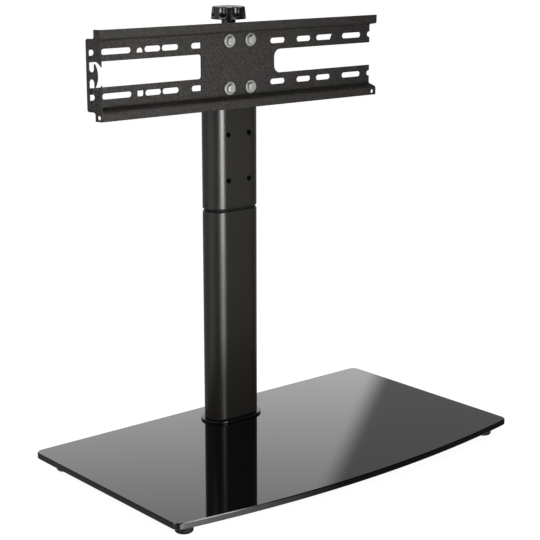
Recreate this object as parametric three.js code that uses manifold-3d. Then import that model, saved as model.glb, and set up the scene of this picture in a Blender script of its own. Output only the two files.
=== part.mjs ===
import * as THREE from 'three';
import Module from 'manifold-3d';

// Table top television stand: glass base, turning column, mounting plate and locking knob.
// Millimetres. Origin under the middle of the object, Z up, the screen side faces -Y.

// Glass base
const base_width = 558;
const base_side_depth = 303;
const base_bow = 25.5;
const base_corner_radius = 11;
const glass_thickness = 8;
const glass_arris = 0.8;

// Feet under the glass
const foot_height = 14;
const foot_diameter = 22;
const foot_edge_radius = 3;
const foot_side_inset = 26;
const foot_front_inset = 20;
const foot_rear_inset = 31;
const foot_disc_diameter = 17;
const foot_disc_thickness = 2;

// Column tubes, flat oval in plan
const column_width = 80;
const column_depth = 40;
const column_wall = 3;
const column_rear_inset = 52;
const column_edge_round = 1;
const lower_column_height = 285;
const upper_column_height = 232;
const collar_overhang = 5;
const collar_thickness = 3;
const collar_edge_round = 1.2;

// Fixing of the column to the glass
const foot_block_height = 20;
const base_bolt_pitch_x = 44;
const base_bolt_pitch_y = 16;
const glass_hole_diameter = 9;
const clamp_length = 112;
const clamp_width = 62;
const clamp_corner_radius = 8;
const clamp_plate_thickness = 3;
const clamp_pad_thickness = 1.5;

// Small bolts, all the same thread
const bolt_diameter = 6;
const bolt_head_width = 10;
const bolt_head_height = 4.2;
const bolt_head_chamfer = 0.9;
const bolt_tip_chamfer = 0.8;
const base_bolt_length = 32;
const plate_bolt_length = 16;
const base_washer_diameter = 12;
const plate_washer_diameter = 16.8;
const washer_thickness = 1.6;
const washer_chamfer = 0.3;

// Swivel at mid height
const swivel_gap = 2.5;
const swivel_cap_height = 14;
const slip_washer_inset = 1;
const pivot_diameter = 20;
const pivot_bore = 11;
const stop_pin_diameter = 6;
const stop_pin_radius = 21;
const stop_pin_reach = 9;
const stop_turn = THREE.MathUtils.degToRad(30);

// Lock rod, its nut and the knob
const rod_diameter = 10;
const rod_tip_chamfer = 1;
const rod_below_nut = 3;
const rod_in_knob = 8;
const nut_width = 17;
const nut_height = 8;
const top_cap_lid = 3;
const top_cap_plug = 5;
const backing_bar_thickness = 6;
const backing_bar_end_gap = 0.8;
const neck_diameter = 18.2;
const neck_height = 8.3;
const neck_chamfer = 0.8;
const knob_bottom_diameter = 45.4;
const knob_top_diameter = 42;
const knob_height = 15.7;
const knob_rim_height = 3.1;
const knob_bottom_round = 0.6;
const knob_top_round = 1.1;
const knob_dome = 1.6;
const knob_dome_shares = [0.5, 0];
const knob_flutes = 8;
const knob_flute_diameter = 12;
const knob_flute_depth = 2.4;
const knob_phase = THREE.MathUtils.degToRad(31);

// Mounting plate, one folded sheet
const sheet_thickness = 2;
const sheet_bend_radius = 2.6;
const plate_height = 108;
const plate_half_width = 230.4;
const lip_half_width = 224;
const lip_height = 10.4;
const lip_wall_rise = 2.8;
const lip_forward = 19;
const bolt_row_pitch = 60;
const bolt_row_drop = 8.8;
const bolt_column_pitch = 34;
const slot_row_pitch = 53;
const slot_height = 7.1;
const window_height = 30.6;
const window_corner_radius = 10;
const window_inner_edge = 58.5;
const left_window_corner_radius = 3.5;
const left_window_inner_edge = 61;
const round_hole_top = 2.3;
const cup_hole_corner = 2;
const slanted_end_lean = 3.2;
const lock_hole_diameter = 5.3;
const lock_hole_end_inset = 6.4;
const lock_hole_edge_inset = 4.8;
// Slot ends and window positions as shares of the plate's half width
const right_slot_shares = [[0.226, 0.335], [0.423, 0.53], [0.573, 0.684], [0.776, 0.926], [0.977, 1.05]];
const left_slot_shares = [[0.27, 0.331], [0.416, 0.526], [0.533, 0.638], [0.724, 0.917], [0.953, 1.05]];
const left_square_end_shares = [0.266, 0.29];
const left_round_hole_shares = [0.648, 0.689];
const slanted_slot_shares = [0.66, 0.684];

// End flange of the plate, measured back from its front edge
const flange_strip_depth = 10.2;
const flange_rear_half_height = 43.2;
const flange_corner_radius = 3;
const flange_slot_front = 10.7;
const flange_slot_rear = 19;
const flange_slot_half_reach = 32;
const tongue_half_height = 4.1;
const tongue_cap_front = 5.8;
const tongue_cap_half_height = 14;
const tongue_cap_radius = 25.4;
const bite_radius = 18.5;
const bite_centre_depth = 15.2;

// Fit between pieces that touch or pass through each other
const clearance = 0.3;
const bolt_clearance = 0.6;
const slot_clearance = 0.8;

// Facet counts
const round_steps = 32;
const small_round_steps = 20;
const arc_steps = 6;
const bow_steps = 36;
const edge_steps = 2;
const bend_steps = 4;
const oval_steps = 16;
const hexagon_sides = 6;
const weld_step = 0.0005;
const half_turn = Math.PI;
const quarter_turn = Math.PI / 2;

// Levels and positions that follow from the sizes above
const base_total_depth = base_side_depth + base_bow;
const base_rear = base_total_depth / 2;
const base_front_corner = base_rear - base_side_depth;
const glass_bottom = foot_height;
const glass_top = glass_bottom + glass_thickness;
const collar_top = glass_top + collar_thickness;
const lower_column_top = collar_top + lower_column_height;
const upper_column_bottom = lower_column_top + swivel_gap;
const upper_column_top = upper_column_bottom + upper_column_height;
const lid_bottom = upper_column_top + clearance;
const lid_top = lid_bottom + top_cap_lid;
const neck_bottom = lid_top + clearance;
const knob_bottom = neck_bottom + neck_height;
const knob_top = knob_bottom + knob_height;
const column_y = base_rear - column_rear_inset;
const column_front = column_y - column_depth / 2;
const column_inner_front = column_front + column_wall;
const plug_bottom = upper_column_top - top_cap_plug;
const plate_centre_height = plug_bottom - bolt_row_drop - bolt_row_pitch / 2;
const plate_bolt_rows = [bolt_row_pitch / 2, -bolt_row_pitch / 2];
const spare_hole_rows = plate_bolt_rows.map((z) => z - 2 * bolt_row_pitch);
const web_back = column_front - clearance;
const web_front = web_back - sheet_thickness;
const lip_front = web_front - lip_forward;

// Kit: points of arcs, bodies from stacked outlines and turned profiles, cuts and joins
const wasm = await Module();
wasm.setup();

const axis_x = new THREE.Vector3(1, 0, 0);
const axis_y = new THREE.Vector3(0, 1, 0);
const axis_z = new THREE.Vector3(0, 0, 1);
const drawn_front = new THREE.Matrix4().makeBasis(axis_x, axis_z, axis_y);
const drawn_side = new THREE.Matrix4().makeBasis(axis_y, axis_z, axis_x);

function arc(x, y, radius, from, to, steps) {
  const points = [];
  for (let i = 0; i <= steps; i += 1) {
    const angle = from + (to - from) * i / steps;
    points.push([x + radius * Math.cos(angle), y + radius * Math.sin(angle)]);
  }
  return points;
}

function without_repeats(points) {
  const apart = ([x, y], [u, v]) => Math.hypot(x - u, y - v) > weld_step;
  return points.filter((p, i) => apart(p, points[(i + 1) % points.length]));
}

function signed_area([ax, ay], [bx, by], [cx, cy]) {
  return (bx - ax) * (cy - ay) - (cx - ax) * (by - ay);
}

// Body between outlines: each level gives the inset of its outline and its height
function stacked(outline, levels) {
  const rings = levels.map(([inset, z]) => outline(inset).map(([x, y]) => [x, y, z]));
  const corners = [];
  const put = (...points) => points.forEach((point) => corners.push(...point));
  for (let k = 1; k < rings.length; k += 1) {
    const low = rings[k - 1];
    const high = rings[k];
    low.forEach((point, i) => {
      const j = (i + 1) % low.length;
      put(point, low[j], high[j]);
      put(point, high[j], high[i]);
    });
  }
  for (const [ring, up] of [[rings[0], false], [rings[rings.length - 1], true]]) {
    const flat = ring.map(([x, y]) => new THREE.Vector2(x, y));
    for (const [a, b, c] of THREE.ShapeUtils.triangulateShape(flat, [])) {
      const counter = signed_area(ring[a], ring[b], ring[c]) > 0;
      if (counter === up) put(ring[a], ring[b], ring[c]);
      else put(ring[a], ring[c], ring[b]);
    }
  }
  const geometry = new THREE.BufferGeometry();
  geometry.setAttribute('position', new THREE.Float32BufferAttribute(corners, 3));
  return geometry;
}

function slab(points, from, to) {
  const outline = without_repeats(points);
  const flat = outline.map(([x, y]) => new THREE.Vector2(x, y));
  if (THREE.ShapeUtils.area(flat) < 0) outline.reverse();
  return stacked(() => outline, [[0, from], [0, to]]);
}

// Profile points are radius and height; the axis of turning is Z
function turned(profile, steps) {
  const points = profile.map(([radius, z]) => new THREE.Vector2(radius, z));
  return new THREE.LatheGeometry(points, steps).rotateX(quarter_turn);
}

function rod(diameter, from, to, steps) {
  const radius = diameter / 2;
  return turned([[0, from], [radius, from], [radius, to], [0, to]], steps);
}

function hexagon_bar(across_flats, from, to) {
  const corner = across_flats / Math.sqrt(3);
  return slab(arc(0, 0, corner, 0, 2 * half_turn, hexagon_sides), from, to);
}

function volume_of(vertices, triangles) {
  const corner = (i) => new THREE.Vector3().fromArray(vertices, 3 * triangles[i]);
  let volume = 0;
  for (let i = 0; i < triangles.length; i += 3) {
    volume += corner(i).dot(corner(i + 1).cross(corner(i + 2))) / 6;
  }
  return volume;
}

function solid(geometry) {
  const source = geometry.index ? geometry.toNonIndexed() : geometry;
  const position = source.getAttribute('position');
  const seen = new Map();
  const vertices = [];
  const corners = [];
  for (let i = 0; i < position.count; i += 1) {
    const point = [position.getX(i), position.getY(i), position.getZ(i)];
    const key = point.map((value) => Math.round(value / weld_step)).join(' ');
    if (!seen.has(key)) {
      seen.set(key, seen.size);
      vertices.push(...point);
    }
    corners.push(seen.get(key));
  }
  const triangles = [];
  for (let i = 0; i < corners.length; i += 3) {
    const [a, b, c] = corners.slice(i, i + 3);
    if (a !== b && b !== c && c !== a) triangles.push(a, b, c);
  }
  if (volume_of(vertices, triangles) < 0) triangles.reverse();
  return new wasm.Manifold(new wasm.Mesh({
    numProp: 3,
    vertProperties: new Float32Array(vertices),
    triVerts: new Uint32Array(triangles),
  }));
}

function mesh_from(body, name, color, roughness, metalness) {
  const { vertProperties, triVerts } = body.getMesh();
  const indexed = new THREE.BufferGeometry();
  indexed.setAttribute('position', new THREE.Float32BufferAttribute(vertProperties, 3));
  indexed.setIndex([...triVerts]);
  const geometry = indexed.toNonIndexed();
  geometry.computeVertexNormals();
  const mesh = new THREE.Mesh(
    geometry,
    new THREE.MeshStandardMaterial({ color, roughness, metalness }),
  );
  mesh.name = name;
  return mesh;
}

function joined(first, ...others) {
  return others.reduce((body, other) => body.add(other), first);
}

function cut(body, tools) {
  return tools.reduce((rest, tool) => rest.subtract(solid(tool)), body);
}

// Insets and heights that round the lower or upper edge of a body
function rounded_edge(radius, z, up) {
  const side = up ? 1 : -1;
  const levels = arc(0, 0, radius, 0, quarter_turn, edge_steps).map(
    ([across, along]) => [radius - across, z + side * (along - radius)],
  );
  return up ? levels : levels.reverse();
}

// Flat oval in plan, centred on the column's axis
function oval(width, depth) {
  return (inset) => {
    const radius = depth / 2 - inset;
    const reach = (width - depth) / 2;
    return without_repeats([
      ...arc(reach, column_y, radius, -quarter_turn, quarter_turn, oval_steps),
      ...arc(-reach, column_y, radius, quarter_turn, 3 * quarter_turn, oval_steps),
    ]);
  };
}

const column_outline = oval(column_width, column_depth);
const inner_width = column_width - 2 * column_wall;
const inner_depth = column_depth - 2 * column_wall;
const bore_outline = oval(inner_width, inner_depth);
const plug_outline = oval(inner_width - 2 * clearance, inner_depth - 2 * clearance);

function on_axis(geometry) {
  return geometry.translate(0, column_y, 0);
}

function both_signs(x, y) {
  return [[-x, -y], [x, -y], [x, y], [-x, y]];
}

const parts = [];

function add(body, name, look) {
  parts.push(mesh_from(body, name, look.color, look.roughness, look.metalness));
}

const looks = {
  black_glass: { color: 0x0c0d0f, roughness: 0.05, metalness: 0 },
  rubber: { color: 0x151515, roughness: 0.9, metalness: 0 },
  black_plastic: { color: 0x121213, roughness: 0.35, metalness: 0 },
  satin_black: { color: 0x1b1b1d, roughness: 0.4, metalness: 0.5 },
  powder_coat: { color: 0x3d3b39, roughness: 0.7, metalness: 0.2 },
  zinc: { color: 0xc4c7ca, roughness: 0.3, metalness: 0.9 },
  steel: { color: 0x8f9296, roughness: 0.4, metalness: 0.9 },
};

// Glass base: straight back and sides, bowed front, round corners, bevelled edges
const bow_radius = (base_width ** 2 / 4 + base_bow ** 2) / (2 * base_bow);
const bow_centre_y = base_front_corner - base_bow + bow_radius;
const corner_x = base_width / 2 - base_corner_radius;
const corner_reach = bow_radius - base_corner_radius;
const front_corner_y = bow_centre_y - Math.sqrt(corner_reach ** 2 - corner_x ** 2);
const rear_corner_y = base_rear - base_corner_radius;
const bow_angle = Math.asin(corner_x / corner_reach);

function glass_outline(inset) {
  const radius = base_corner_radius - inset;
  const bow_from = -quarter_turn - bow_angle;
  const bow_to = -quarter_turn + bow_angle;
  const corner = (side, y, from, to) => arc(side * corner_x, y, radius, from, to, arc_steps);
  return without_repeats([
    ...arc(0, bow_centre_y, bow_radius - inset, bow_from, bow_to, bow_steps),
    ...corner(1, front_corner_y, bow_to, 0),
    ...corner(1, rear_corner_y, 0, quarter_turn),
    ...corner(-1, rear_corner_y, quarter_turn, half_turn),
    ...corner(-1, front_corner_y, half_turn, 2 * half_turn + bow_from),
  ]);
}

const base_bolt_places = both_signs(base_bolt_pitch_x / 2, base_bolt_pitch_y / 2);

function base_holes(diameter, from, to) {
  return base_bolt_places.map(
    ([x, y]) => on_axis(rod(diameter, from, to, small_round_steps)).translate(x, y, 0),
  );
}

const glass_blank = stacked(glass_outline, [
  [glass_arris, glass_bottom],
  [0, glass_bottom + glass_arris],
  [0, glass_top - glass_arris],
  [glass_arris, glass_top],
]);
const glass_holes = base_holes(glass_hole_diameter, 0, collar_top);
add(cut(solid(glass_blank), glass_holes), 'glass_base', looks.black_glass);

// Feet: a steel disc bonded under the glass and a rubber pad pressed over it
const foot_x = base_width / 2 - foot_side_inset;
const foot_front_y = base_front_corner + foot_front_inset;
const foot_rear_y = base_rear - foot_rear_inset;
const foot_places = [
  [-foot_x, foot_front_y],
  [foot_x, foot_front_y],
  [foot_x, foot_rear_y],
  [-foot_x, foot_rear_y],
];
const foot_radius = foot_diameter / 2;
const pocket_radius = foot_disc_diameter / 2 + clearance;
const pocket_floor = foot_height - foot_disc_thickness - clearance;
const foot_profile = [
  [0, 0],
  ...arc(
    foot_radius - foot_edge_radius, foot_edge_radius, foot_edge_radius,
    -quarter_turn, 0, edge_steps + 1,
  ),
  [foot_radius, foot_height],
  [pocket_radius, foot_height],
  [pocket_radius, pocket_floor],
  [0, pocket_floor],
];
foot_places.forEach(([x, y], i) => {
  const pad = turned(foot_profile, small_round_steps).translate(x, y, 0);
  add(solid(pad), `foot_pad_${i + 1}`, looks.rubber);
});
foot_places.forEach(([x, y], i) => {
  const from = foot_height - foot_disc_thickness;
  const disc = rod(foot_disc_diameter, from, foot_height, small_round_steps);
  add(solid(disc.translate(x, y, 0)), `foot_disc_${i + 1}`, looks.steel);
});

// Collar: moulded plate between the glass and the column
const bolt_hole = bolt_diameter + bolt_clearance;
const collar_outline = oval(
  column_width + 2 * collar_overhang,
  column_depth + 2 * collar_overhang,
);
const collar_blank = stacked(collar_outline, [
  [0, glass_top],
  ...rounded_edge(collar_edge_round, collar_top, true),
]);
const collar_holes = base_holes(bolt_hole, glass_bottom, collar_top + collar_thickness);
add(cut(solid(collar_blank), collar_holes), 'base_collar', looks.black_plastic);

// Clamp under the glass: rubber pad, steel plate, washers and bolts
function clamp_outline(inset) {
  const radius = clamp_corner_radius - inset;
  const x = clamp_length / 2 - clamp_corner_radius;
  const y = clamp_width / 2 - clamp_corner_radius;
  const corners = [[x, -y], [x, y], [-x, y], [-x, -y]];
  return corners.flatMap(([cx, cy], i) => {
    const from = (i - 1) * quarter_turn;
    return arc(cx, column_y + cy, radius, from, from + quarter_turn, arc_steps / 2);
  });
}

const pad_bottom = glass_bottom - clamp_pad_thickness;
const clamp_bottom = pad_bottom - clamp_plate_thickness;
const base_washer_bottom = clamp_bottom - washer_thickness;
const clamp_holes = base_holes(bolt_hole, 0, glass_top);
const pad_blank = stacked(clamp_outline, [[0, pad_bottom], [0, glass_bottom]]);
add(cut(solid(pad_blank), clamp_holes), 'clamp_pad', looks.rubber);
const clamp_blank = stacked(clamp_outline, [[0, clamp_bottom], [0, pad_bottom]]);
add(cut(solid(clamp_blank), clamp_holes), 'clamp_plate', looks.steel);

// Washer and bolt, drawn pointing up from the seat of the bolt's head
function washer(diameter) {
  const outer = diameter / 2;
  const inner = bolt_hole / 2;
  return turned([
    [inner, 0],
    [outer - washer_chamfer, 0],
    [outer, washer_chamfer],
    [outer, washer_thickness - washer_chamfer],
    [outer - washer_chamfer, washer_thickness],
    [inner, washer_thickness],
    [inner, 0],
  ], small_round_steps);
}

function bolt(length, place) {
  const corner = bolt_head_width / Math.sqrt(3);
  const hexagon = hexagon_bar(bolt_head_width, -bolt_head_height, 0);
  const dome = turned([
    [0, -bolt_head_height],
    [bolt_head_width / 2 - bolt_head_chamfer, -bolt_head_height],
    [corner + washer_chamfer, bolt_head_chamfer - bolt_head_height],
    [corner + washer_chamfer, 0],
    [0, 0],
  ], small_round_steps);
  const shank = turned([
    [0, -bolt_head_height / 2],
    [bolt_diameter / 2, -bolt_head_height / 2],
    [bolt_diameter / 2, length - bolt_tip_chamfer],
    [bolt_diameter / 2 - bolt_tip_chamfer, length],
    [0, length],
  ], small_round_steps);
  const head = solid(place(hexagon)).intersect(solid(place(dome)));
  return joined(head, solid(place(shank)));
}

base_bolt_places.forEach(([x, y], i) => {
  const place = (geometry) => on_axis(geometry).translate(x, y, base_washer_bottom);
  add(bolt(base_bolt_length, place), `base_bolt_${i + 1}`, looks.zinc);
});
base_bolt_places.forEach(([x, y], i) => {
  const ring = on_axis(washer(base_washer_diameter)).translate(x, y, base_washer_bottom);
  add(solid(ring), `base_washer_${i + 1}`, looks.zinc);
});

// Lower column and the tapped block inside its foot
function tube(bottom, top) {
  const outside = stacked(column_outline, [
    ...rounded_edge(column_edge_round, bottom, false),
    ...rounded_edge(column_edge_round, top, true),
  ]);
  const bore = stacked(bore_outline, [[0, bottom - clearance], [0, top + clearance]]);
  return cut(solid(outside), [bore]);
}

add(tube(collar_top, lower_column_top), 'lower_column', looks.satin_black);
const block_top = collar_top + foot_block_height;
const block_blank = stacked(plug_outline, [[0, collar_top], [0, block_top]]);
const block_holes = base_holes(bolt_hole, glass_top, block_top + clearance);
add(cut(solid(block_blank), block_holes), 'foot_block', looks.steel);

// Swivel: two caps, slip washer, pivot sleeve, stop pin in a curved slot
const pivot_hole = pivot_diameter + 2 * clearance;
const lower_cap_bottom = lower_column_top - swivel_cap_height;
const upper_cap_top = upper_column_bottom + swivel_cap_height;

function pivot_cut() {
  return on_axis(rod(pivot_hole, lower_cap_bottom - clearance, upper_column_top, round_steps));
}

function stop_slot() {
  const half_width = (stop_pin_diameter + slot_clearance) / 2;
  const end = (turn, from) => arc(
    stop_pin_radius * Math.cos(turn), stop_pin_radius * Math.sin(turn),
    half_width, from, from + half_turn, arc_steps,
  );
  const sweep = (radius, from, to) => arc(0, 0, radius, from, to, arc_steps);
  const outline = [
    ...sweep(stop_pin_radius + half_width, -stop_turn, stop_turn),
    ...end(stop_turn, stop_turn),
    ...sweep(stop_pin_radius - half_width, stop_turn, -stop_turn),
    ...end(-stop_turn, half_turn - stop_turn),
  ];
  return on_axis(slab(outline, lower_cap_bottom - clearance, upper_column_bottom + clearance));
}

const lower_cap = stacked(plug_outline, [[0, lower_cap_bottom], [0, lower_column_top]]);
add(cut(solid(lower_cap), [pivot_cut(), stop_slot()]), 'lower_swivel_cap', looks.steel);
const slip_bottom = lower_column_top + clearance;
const slip_top = upper_column_bottom - clearance;
const slip_blank = stacked(column_outline, [
  [slip_washer_inset, slip_bottom],
  [slip_washer_inset, slip_top],
]);
add(cut(solid(slip_blank), [pivot_cut(), stop_slot()]), 'slip_washer', looks.black_plastic);

const pivot_top = upper_cap_top - clearance;
const pivot_profile = [
  [pivot_bore / 2, lower_cap_bottom],
  [pivot_diameter / 2, lower_cap_bottom],
  [pivot_diameter / 2, pivot_top],
  [pivot_bore / 2, pivot_top],
  [pivot_bore / 2, lower_cap_bottom],
];
add(solid(on_axis(turned(pivot_profile, round_steps))), 'pivot_sleeve', looks.steel);

const nut_bottom = lower_cap_bottom - nut_height;
const rod_hole = rod_diameter + bolt_clearance;
const nut_blank = solid(on_axis(hexagon_bar(nut_width, nut_bottom, lower_cap_bottom)));
const nut_bore = on_axis(rod(rod_hole, nut_bottom - clearance, lower_column_top, round_steps));
add(cut(nut_blank, [nut_bore]), 'lock_nut', looks.zinc);

const pin_hole = on_axis(
  rod(stop_pin_diameter + 2 * clearance, lower_cap_bottom, upper_column_top, small_round_steps),
).translate(stop_pin_radius, 0, 0);
const upper_cap = stacked(plug_outline, [[0, upper_column_bottom], [0, upper_cap_top]]);
add(cut(solid(upper_cap), [pivot_cut(), pin_hole]), 'upper_swivel_cap', looks.steel);
const pin = rod(
  stop_pin_diameter, lower_column_top - stop_pin_reach, upper_cap_top, small_round_steps,
);
add(solid(on_axis(pin).translate(stop_pin_radius, 0, 0)), 'stop_pin', looks.steel);

// Upper column with two sets of tapped holes, backed by a bar inside
const hole_columns = [-bolt_column_pitch / 2, bolt_column_pitch / 2];
const hole_rows = [...plate_bolt_rows, ...spare_hole_rows];

function front_rod(diameter, x, z, from, to, steps) {
  return rod(diameter, from, to, steps)
    .applyMatrix4(drawn_front)
    .translate(x, 0, plate_centre_height + z);
}

function column_holes(rows, from, to) {
  return rows.flatMap((z) => hole_columns.map(
    (x) => front_rod(bolt_hole, x, z, from, to, small_round_steps),
  ));
}

const bar_front = column_inner_front + clearance;
const bar_back = bar_front + backing_bar_thickness;
const bolt_holes = column_holes(hole_rows, lip_front, bar_back + clearance);
const upper_tube = tube(upper_column_bottom, upper_column_top);
add(cut(upper_tube, bolt_holes), 'upper_column', looks.satin_black);

const bar_bottom = upper_cap_top + backing_bar_end_gap;
const bar_top = plug_bottom - backing_bar_end_gap;
const bar_section = [
  [-column_width, bar_front],
  [column_width, bar_front],
  [column_width, bar_back],
  [-column_width, bar_back],
];
const bar_blank = solid(slab(bar_section, bar_bottom, bar_top))
  .intersect(solid(stacked(plug_outline, [[0, bar_bottom], [0, bar_top]])));
add(cut(bar_blank, bolt_holes), 'backing_bar', looks.steel);

const lid = stacked(column_outline, [
  [0, lid_bottom],
  ...rounded_edge(column_edge_round, lid_top, true),
]);
const plug = stacked(plug_outline, [[0, plug_bottom], [0, lid_top - clearance]]);
const cap_bore = on_axis(rod(rod_hole, upper_cap_top, knob_bottom, round_steps));
add(cut(joined(solid(lid), solid(plug)), [cap_bore]), 'top_cap', looks.black_plastic);

// Mounting plate: folded rail section, drawn across and pushed along X
function folded_section(path, thickness, bend_radius) {
  const centre = [];
  path.forEach((point, i) => {
    if (i === 0 || i === path.length - 1) {
      centre.push(point);
      return;
    }
    const here = new THREE.Vector2(...point);
    const before = new THREE.Vector2(...path[i - 1]).sub(here).normalize();
    const after = new THREE.Vector2(...path[i + 1]).sub(here).normalize();
    const half_angle = Math.acos(THREE.MathUtils.clamp(before.dot(after), -1, 1)) / 2;
    const middle = before.clone().add(after).normalize();
    const hub = here.clone().addScaledVector(middle, bend_radius / Math.sin(half_angle));
    const start = here.clone().addScaledVector(before, bend_radius / Math.tan(half_angle));
    const finish = here.clone().addScaledVector(after, bend_radius / Math.tan(half_angle));
    const from = start.clone().sub(hub).angle();
    let sweep = finish.clone().sub(hub).angle() - from;
    if (sweep > half_turn) sweep -= 2 * half_turn;
    if (sweep < -half_turn) sweep += 2 * half_turn;
    centre.push(...arc(hub.x, hub.y, bend_radius, from, from + sweep, bend_steps));
  });
  const sides = [1, -1].map((side) => centre.map((point, i) => {
    const previous = centre[Math.max(i - 1, 0)];
    const next = centre[Math.min(i + 1, centre.length - 1)];
    const along = new THREE.Vector2(next[0] - previous[0], next[1] - previous[1]).normalize();
    const shift = side * thickness / 2;
    return [point[0] - along.y * shift, point[1] + along.x * shift];
  }));
  return [...sides[0], ...sides[1].reverse()];
}

const web_middle = web_front + sheet_thickness / 2;
const lip_middle = lip_front + sheet_thickness / 2;
const lip_root = plate_height / 2 - lip_height;
const web_edge = lip_root - lip_wall_rise;
const rail_path = [
  [lip_middle, plate_height / 2],
  [lip_middle, lip_root],
  [web_middle, web_edge],
  [web_middle, -web_edge],
  [lip_middle, -lip_root],
  [lip_middle, -plate_height / 2],
];
const rail_section = folded_section(rail_path, sheet_thickness, sheet_bend_radius);
const rail_blank = slab(rail_section, -plate_half_width, plate_half_width)
  .applyMatrix4(drawn_side)
  .translate(0, 0, plate_centre_height);
const splayed_plan = [
  [-lip_half_width, lip_front],
  [lip_half_width, lip_front],
  [plate_half_width, web_back],
  [-plate_half_width, web_back],
];
const low = plate_centre_height - plate_height;
const high = plate_centre_height + plate_height;
let plate = solid(rail_blank).intersect(solid(slab(splayed_plan, low, high)));

// Openings across the sheet, drawn in X and height from the middle of the plate
function across(points) {
  return slab(points, lip_front - lip_forward, web_back + clearance)
    .applyMatrix4(drawn_front)
    .translate(0, 0, plate_centre_height);
}

function bar_slot([near, far], z, side) {
  const radius = slot_height / 2;
  const from = Math.min(side * near, side * far) * plate_half_width + radius;
  const to = Math.max(side * near, side * far) * plate_half_width - radius;
  return across([
    ...arc(to, z, radius, -quarter_turn, quarter_turn, arc_steps),
    ...arc(from, z, radius, quarter_turn, 3 * quarter_turn, arc_steps),
  ]);
}

// A straight sided hole: its outer end is pushed out by lean at the top
function straight_hole([near, far], z, side, lean) {
  const reach = slot_height / 2;
  return across([
    [near * plate_half_width, z - reach],
    [far * plate_half_width, z - reach],
    [far * plate_half_width + lean, z + reach],
    [near * plate_half_width, z + reach],
  ].map(([px, pz]) => [side * px, pz]));
}

function dome_hole([near, far], z, side) {
  const radius = (far - near) * plate_half_width / 2;
  const x = side * (near + far) * plate_half_width / 2;
  const hub = z + round_hole_top - radius;
  return across([
    ...arc(x, hub, radius, 0, half_turn, arc_steps),
    [x - radius, z - slot_height / 2],
    [x + radius, z - slot_height / 2],
  ]);
}

function cup_hole([near, far], z, side) {
  const half_width = (far - near) * plate_half_width / 2;
  const x = side * (near + far) * plate_half_width / 2;
  const r = cup_hole_corner;
  const low = z - slot_height / 2 + r;
  return across([
    ...arc(x - half_width + r, low, r, half_turn, 3 * quarter_turn, arc_steps),
    ...arc(x + half_width - r, low, r, -quarter_turn, 0, arc_steps),
    [x + half_width, z + slot_height / 2],
    [x - half_width, z + slot_height / 2],
  ]);
}

function window_cut(side, inner_edge, radius) {
  const x = inner_edge + radius;
  const reach = window_height / 2;
  const turn = (z, from) => arc(x, z, radius, from, from + quarter_turn, arc_steps);
  return across([
    ...turn(reach - radius, quarter_turn),
    ...turn(radius - reach, half_turn),
    [plate_half_width + lip_forward, -reach],
    [plate_half_width + lip_forward, reach],
  ].map(([px, pz]) => [side * px, pz]));
}

const upper_row = slot_row_pitch / 2;
for (const z of [upper_row, -upper_row]) {
  plate = cut(plate, [
    ...right_slot_shares.map((span) => bar_slot(span, z, 1)),
    ...left_slot_shares.map((span) => bar_slot(span, z, -1)),
    straight_hole(left_square_end_shares, z, -1, 0),
  ]);
}
plate = cut(plate, [
  dome_hole(left_round_hole_shares, upper_row, -1),
  cup_hole(left_round_hole_shares, -upper_row, -1),
  straight_hole(slanted_slot_shares, upper_row, 1, slanted_end_lean),
]);
const plate_bolt_holes = plate_bolt_rows.flatMap((z) => hole_columns.map(
  (x) => front_rod(bolt_hole, x, z, lip_front - lip_forward, web_back + clearance, small_round_steps),
));
const lock_hole_z = lock_hole_edge_inset - plate_height / 2;
const lock_hole_x = lip_half_width - lock_hole_end_inset;
const lock_hole = front_rod(
  lock_hole_diameter, lock_hole_x, lock_hole_z, lip_front - lip_forward, web_front, small_round_steps,
);
const left_window = window_cut(-1, left_window_inner_edge, left_window_corner_radius);
const right_window = window_cut(1, window_inner_edge, window_corner_radius);
plate = cut(plate, [left_window, right_window, ...plate_bolt_holes, lock_hole]);

// End flange at the left: a closed end with two slots, a round bite and a tongue
const flange_foot = new THREE.Vector3(-lip_half_width, lip_front, plate_centre_height);
const flange_run = new THREE.Vector3(lip_half_width - plate_half_width, web_back - lip_front, 0);
const flange_depth = flange_run.length();
const flange_along = flange_run.clone().normalize();
const flange_inward = new THREE.Vector3().crossVectors(flange_along, axis_z);
const flange_frame = new THREE.Matrix4()
  .makeBasis(flange_along, axis_z, flange_inward)
  .setPosition(flange_foot);

function on_flange(points, from, to) {
  return slab(points, from, to).applyMatrix4(flange_frame);
}

function flange_half(sign) {
  const r = flange_corner_radius;
  const points = [
    [0, plate_height / 2],
    [flange_strip_depth, plate_height / 2],
    ...arc(
      flange_strip_depth + r, flange_rear_half_height + r, r, half_turn, 3 * quarter_turn, arc_steps,
    ),
    ...arc(flange_depth - r, flange_rear_half_height - r, r, quarter_turn, 0, arc_steps),
  ];
  return points.map(([u, v]) => [u, sign * v]);
}

const flange_blank = on_flange([...flange_half(1), ...flange_half(-1).reverse()], 0, sheet_thickness);
const flange_slot_radius = (flange_slot_rear - flange_slot_front) / 2;
const flange_slots = [1, -1].map((sign) => {
  const u = (flange_slot_rear + flange_slot_front) / 2;
  const far = sign * (flange_slot_half_reach - flange_slot_radius);
  const near = sign * (tongue_half_height + flange_slot_radius);
  return on_flange([
    ...arc(u, far, flange_slot_radius, 0, sign * half_turn, arc_steps),
    ...arc(u, near, flange_slot_radius, sign * half_turn, sign * 2 * half_turn, arc_steps),
  ], -clearance, sheet_thickness + clearance);
});
const bite = on_flange(
  arc(bite_centre_depth, 0, bite_radius, 0, 2 * half_turn, round_steps),
  -clearance, sheet_thickness + clearance,
);
const rear_edge = on_flange([
  [flange_slot_rear, -bite_radius],
  [flange_depth, -bite_radius],
  [flange_depth, bite_radius],
  [flange_slot_rear, bite_radius],
], 0, sheet_thickness);
const cap_hub = tongue_cap_front + tongue_cap_radius;
const cap_angle = Math.asin(tongue_cap_half_height / tongue_cap_radius);
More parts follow.
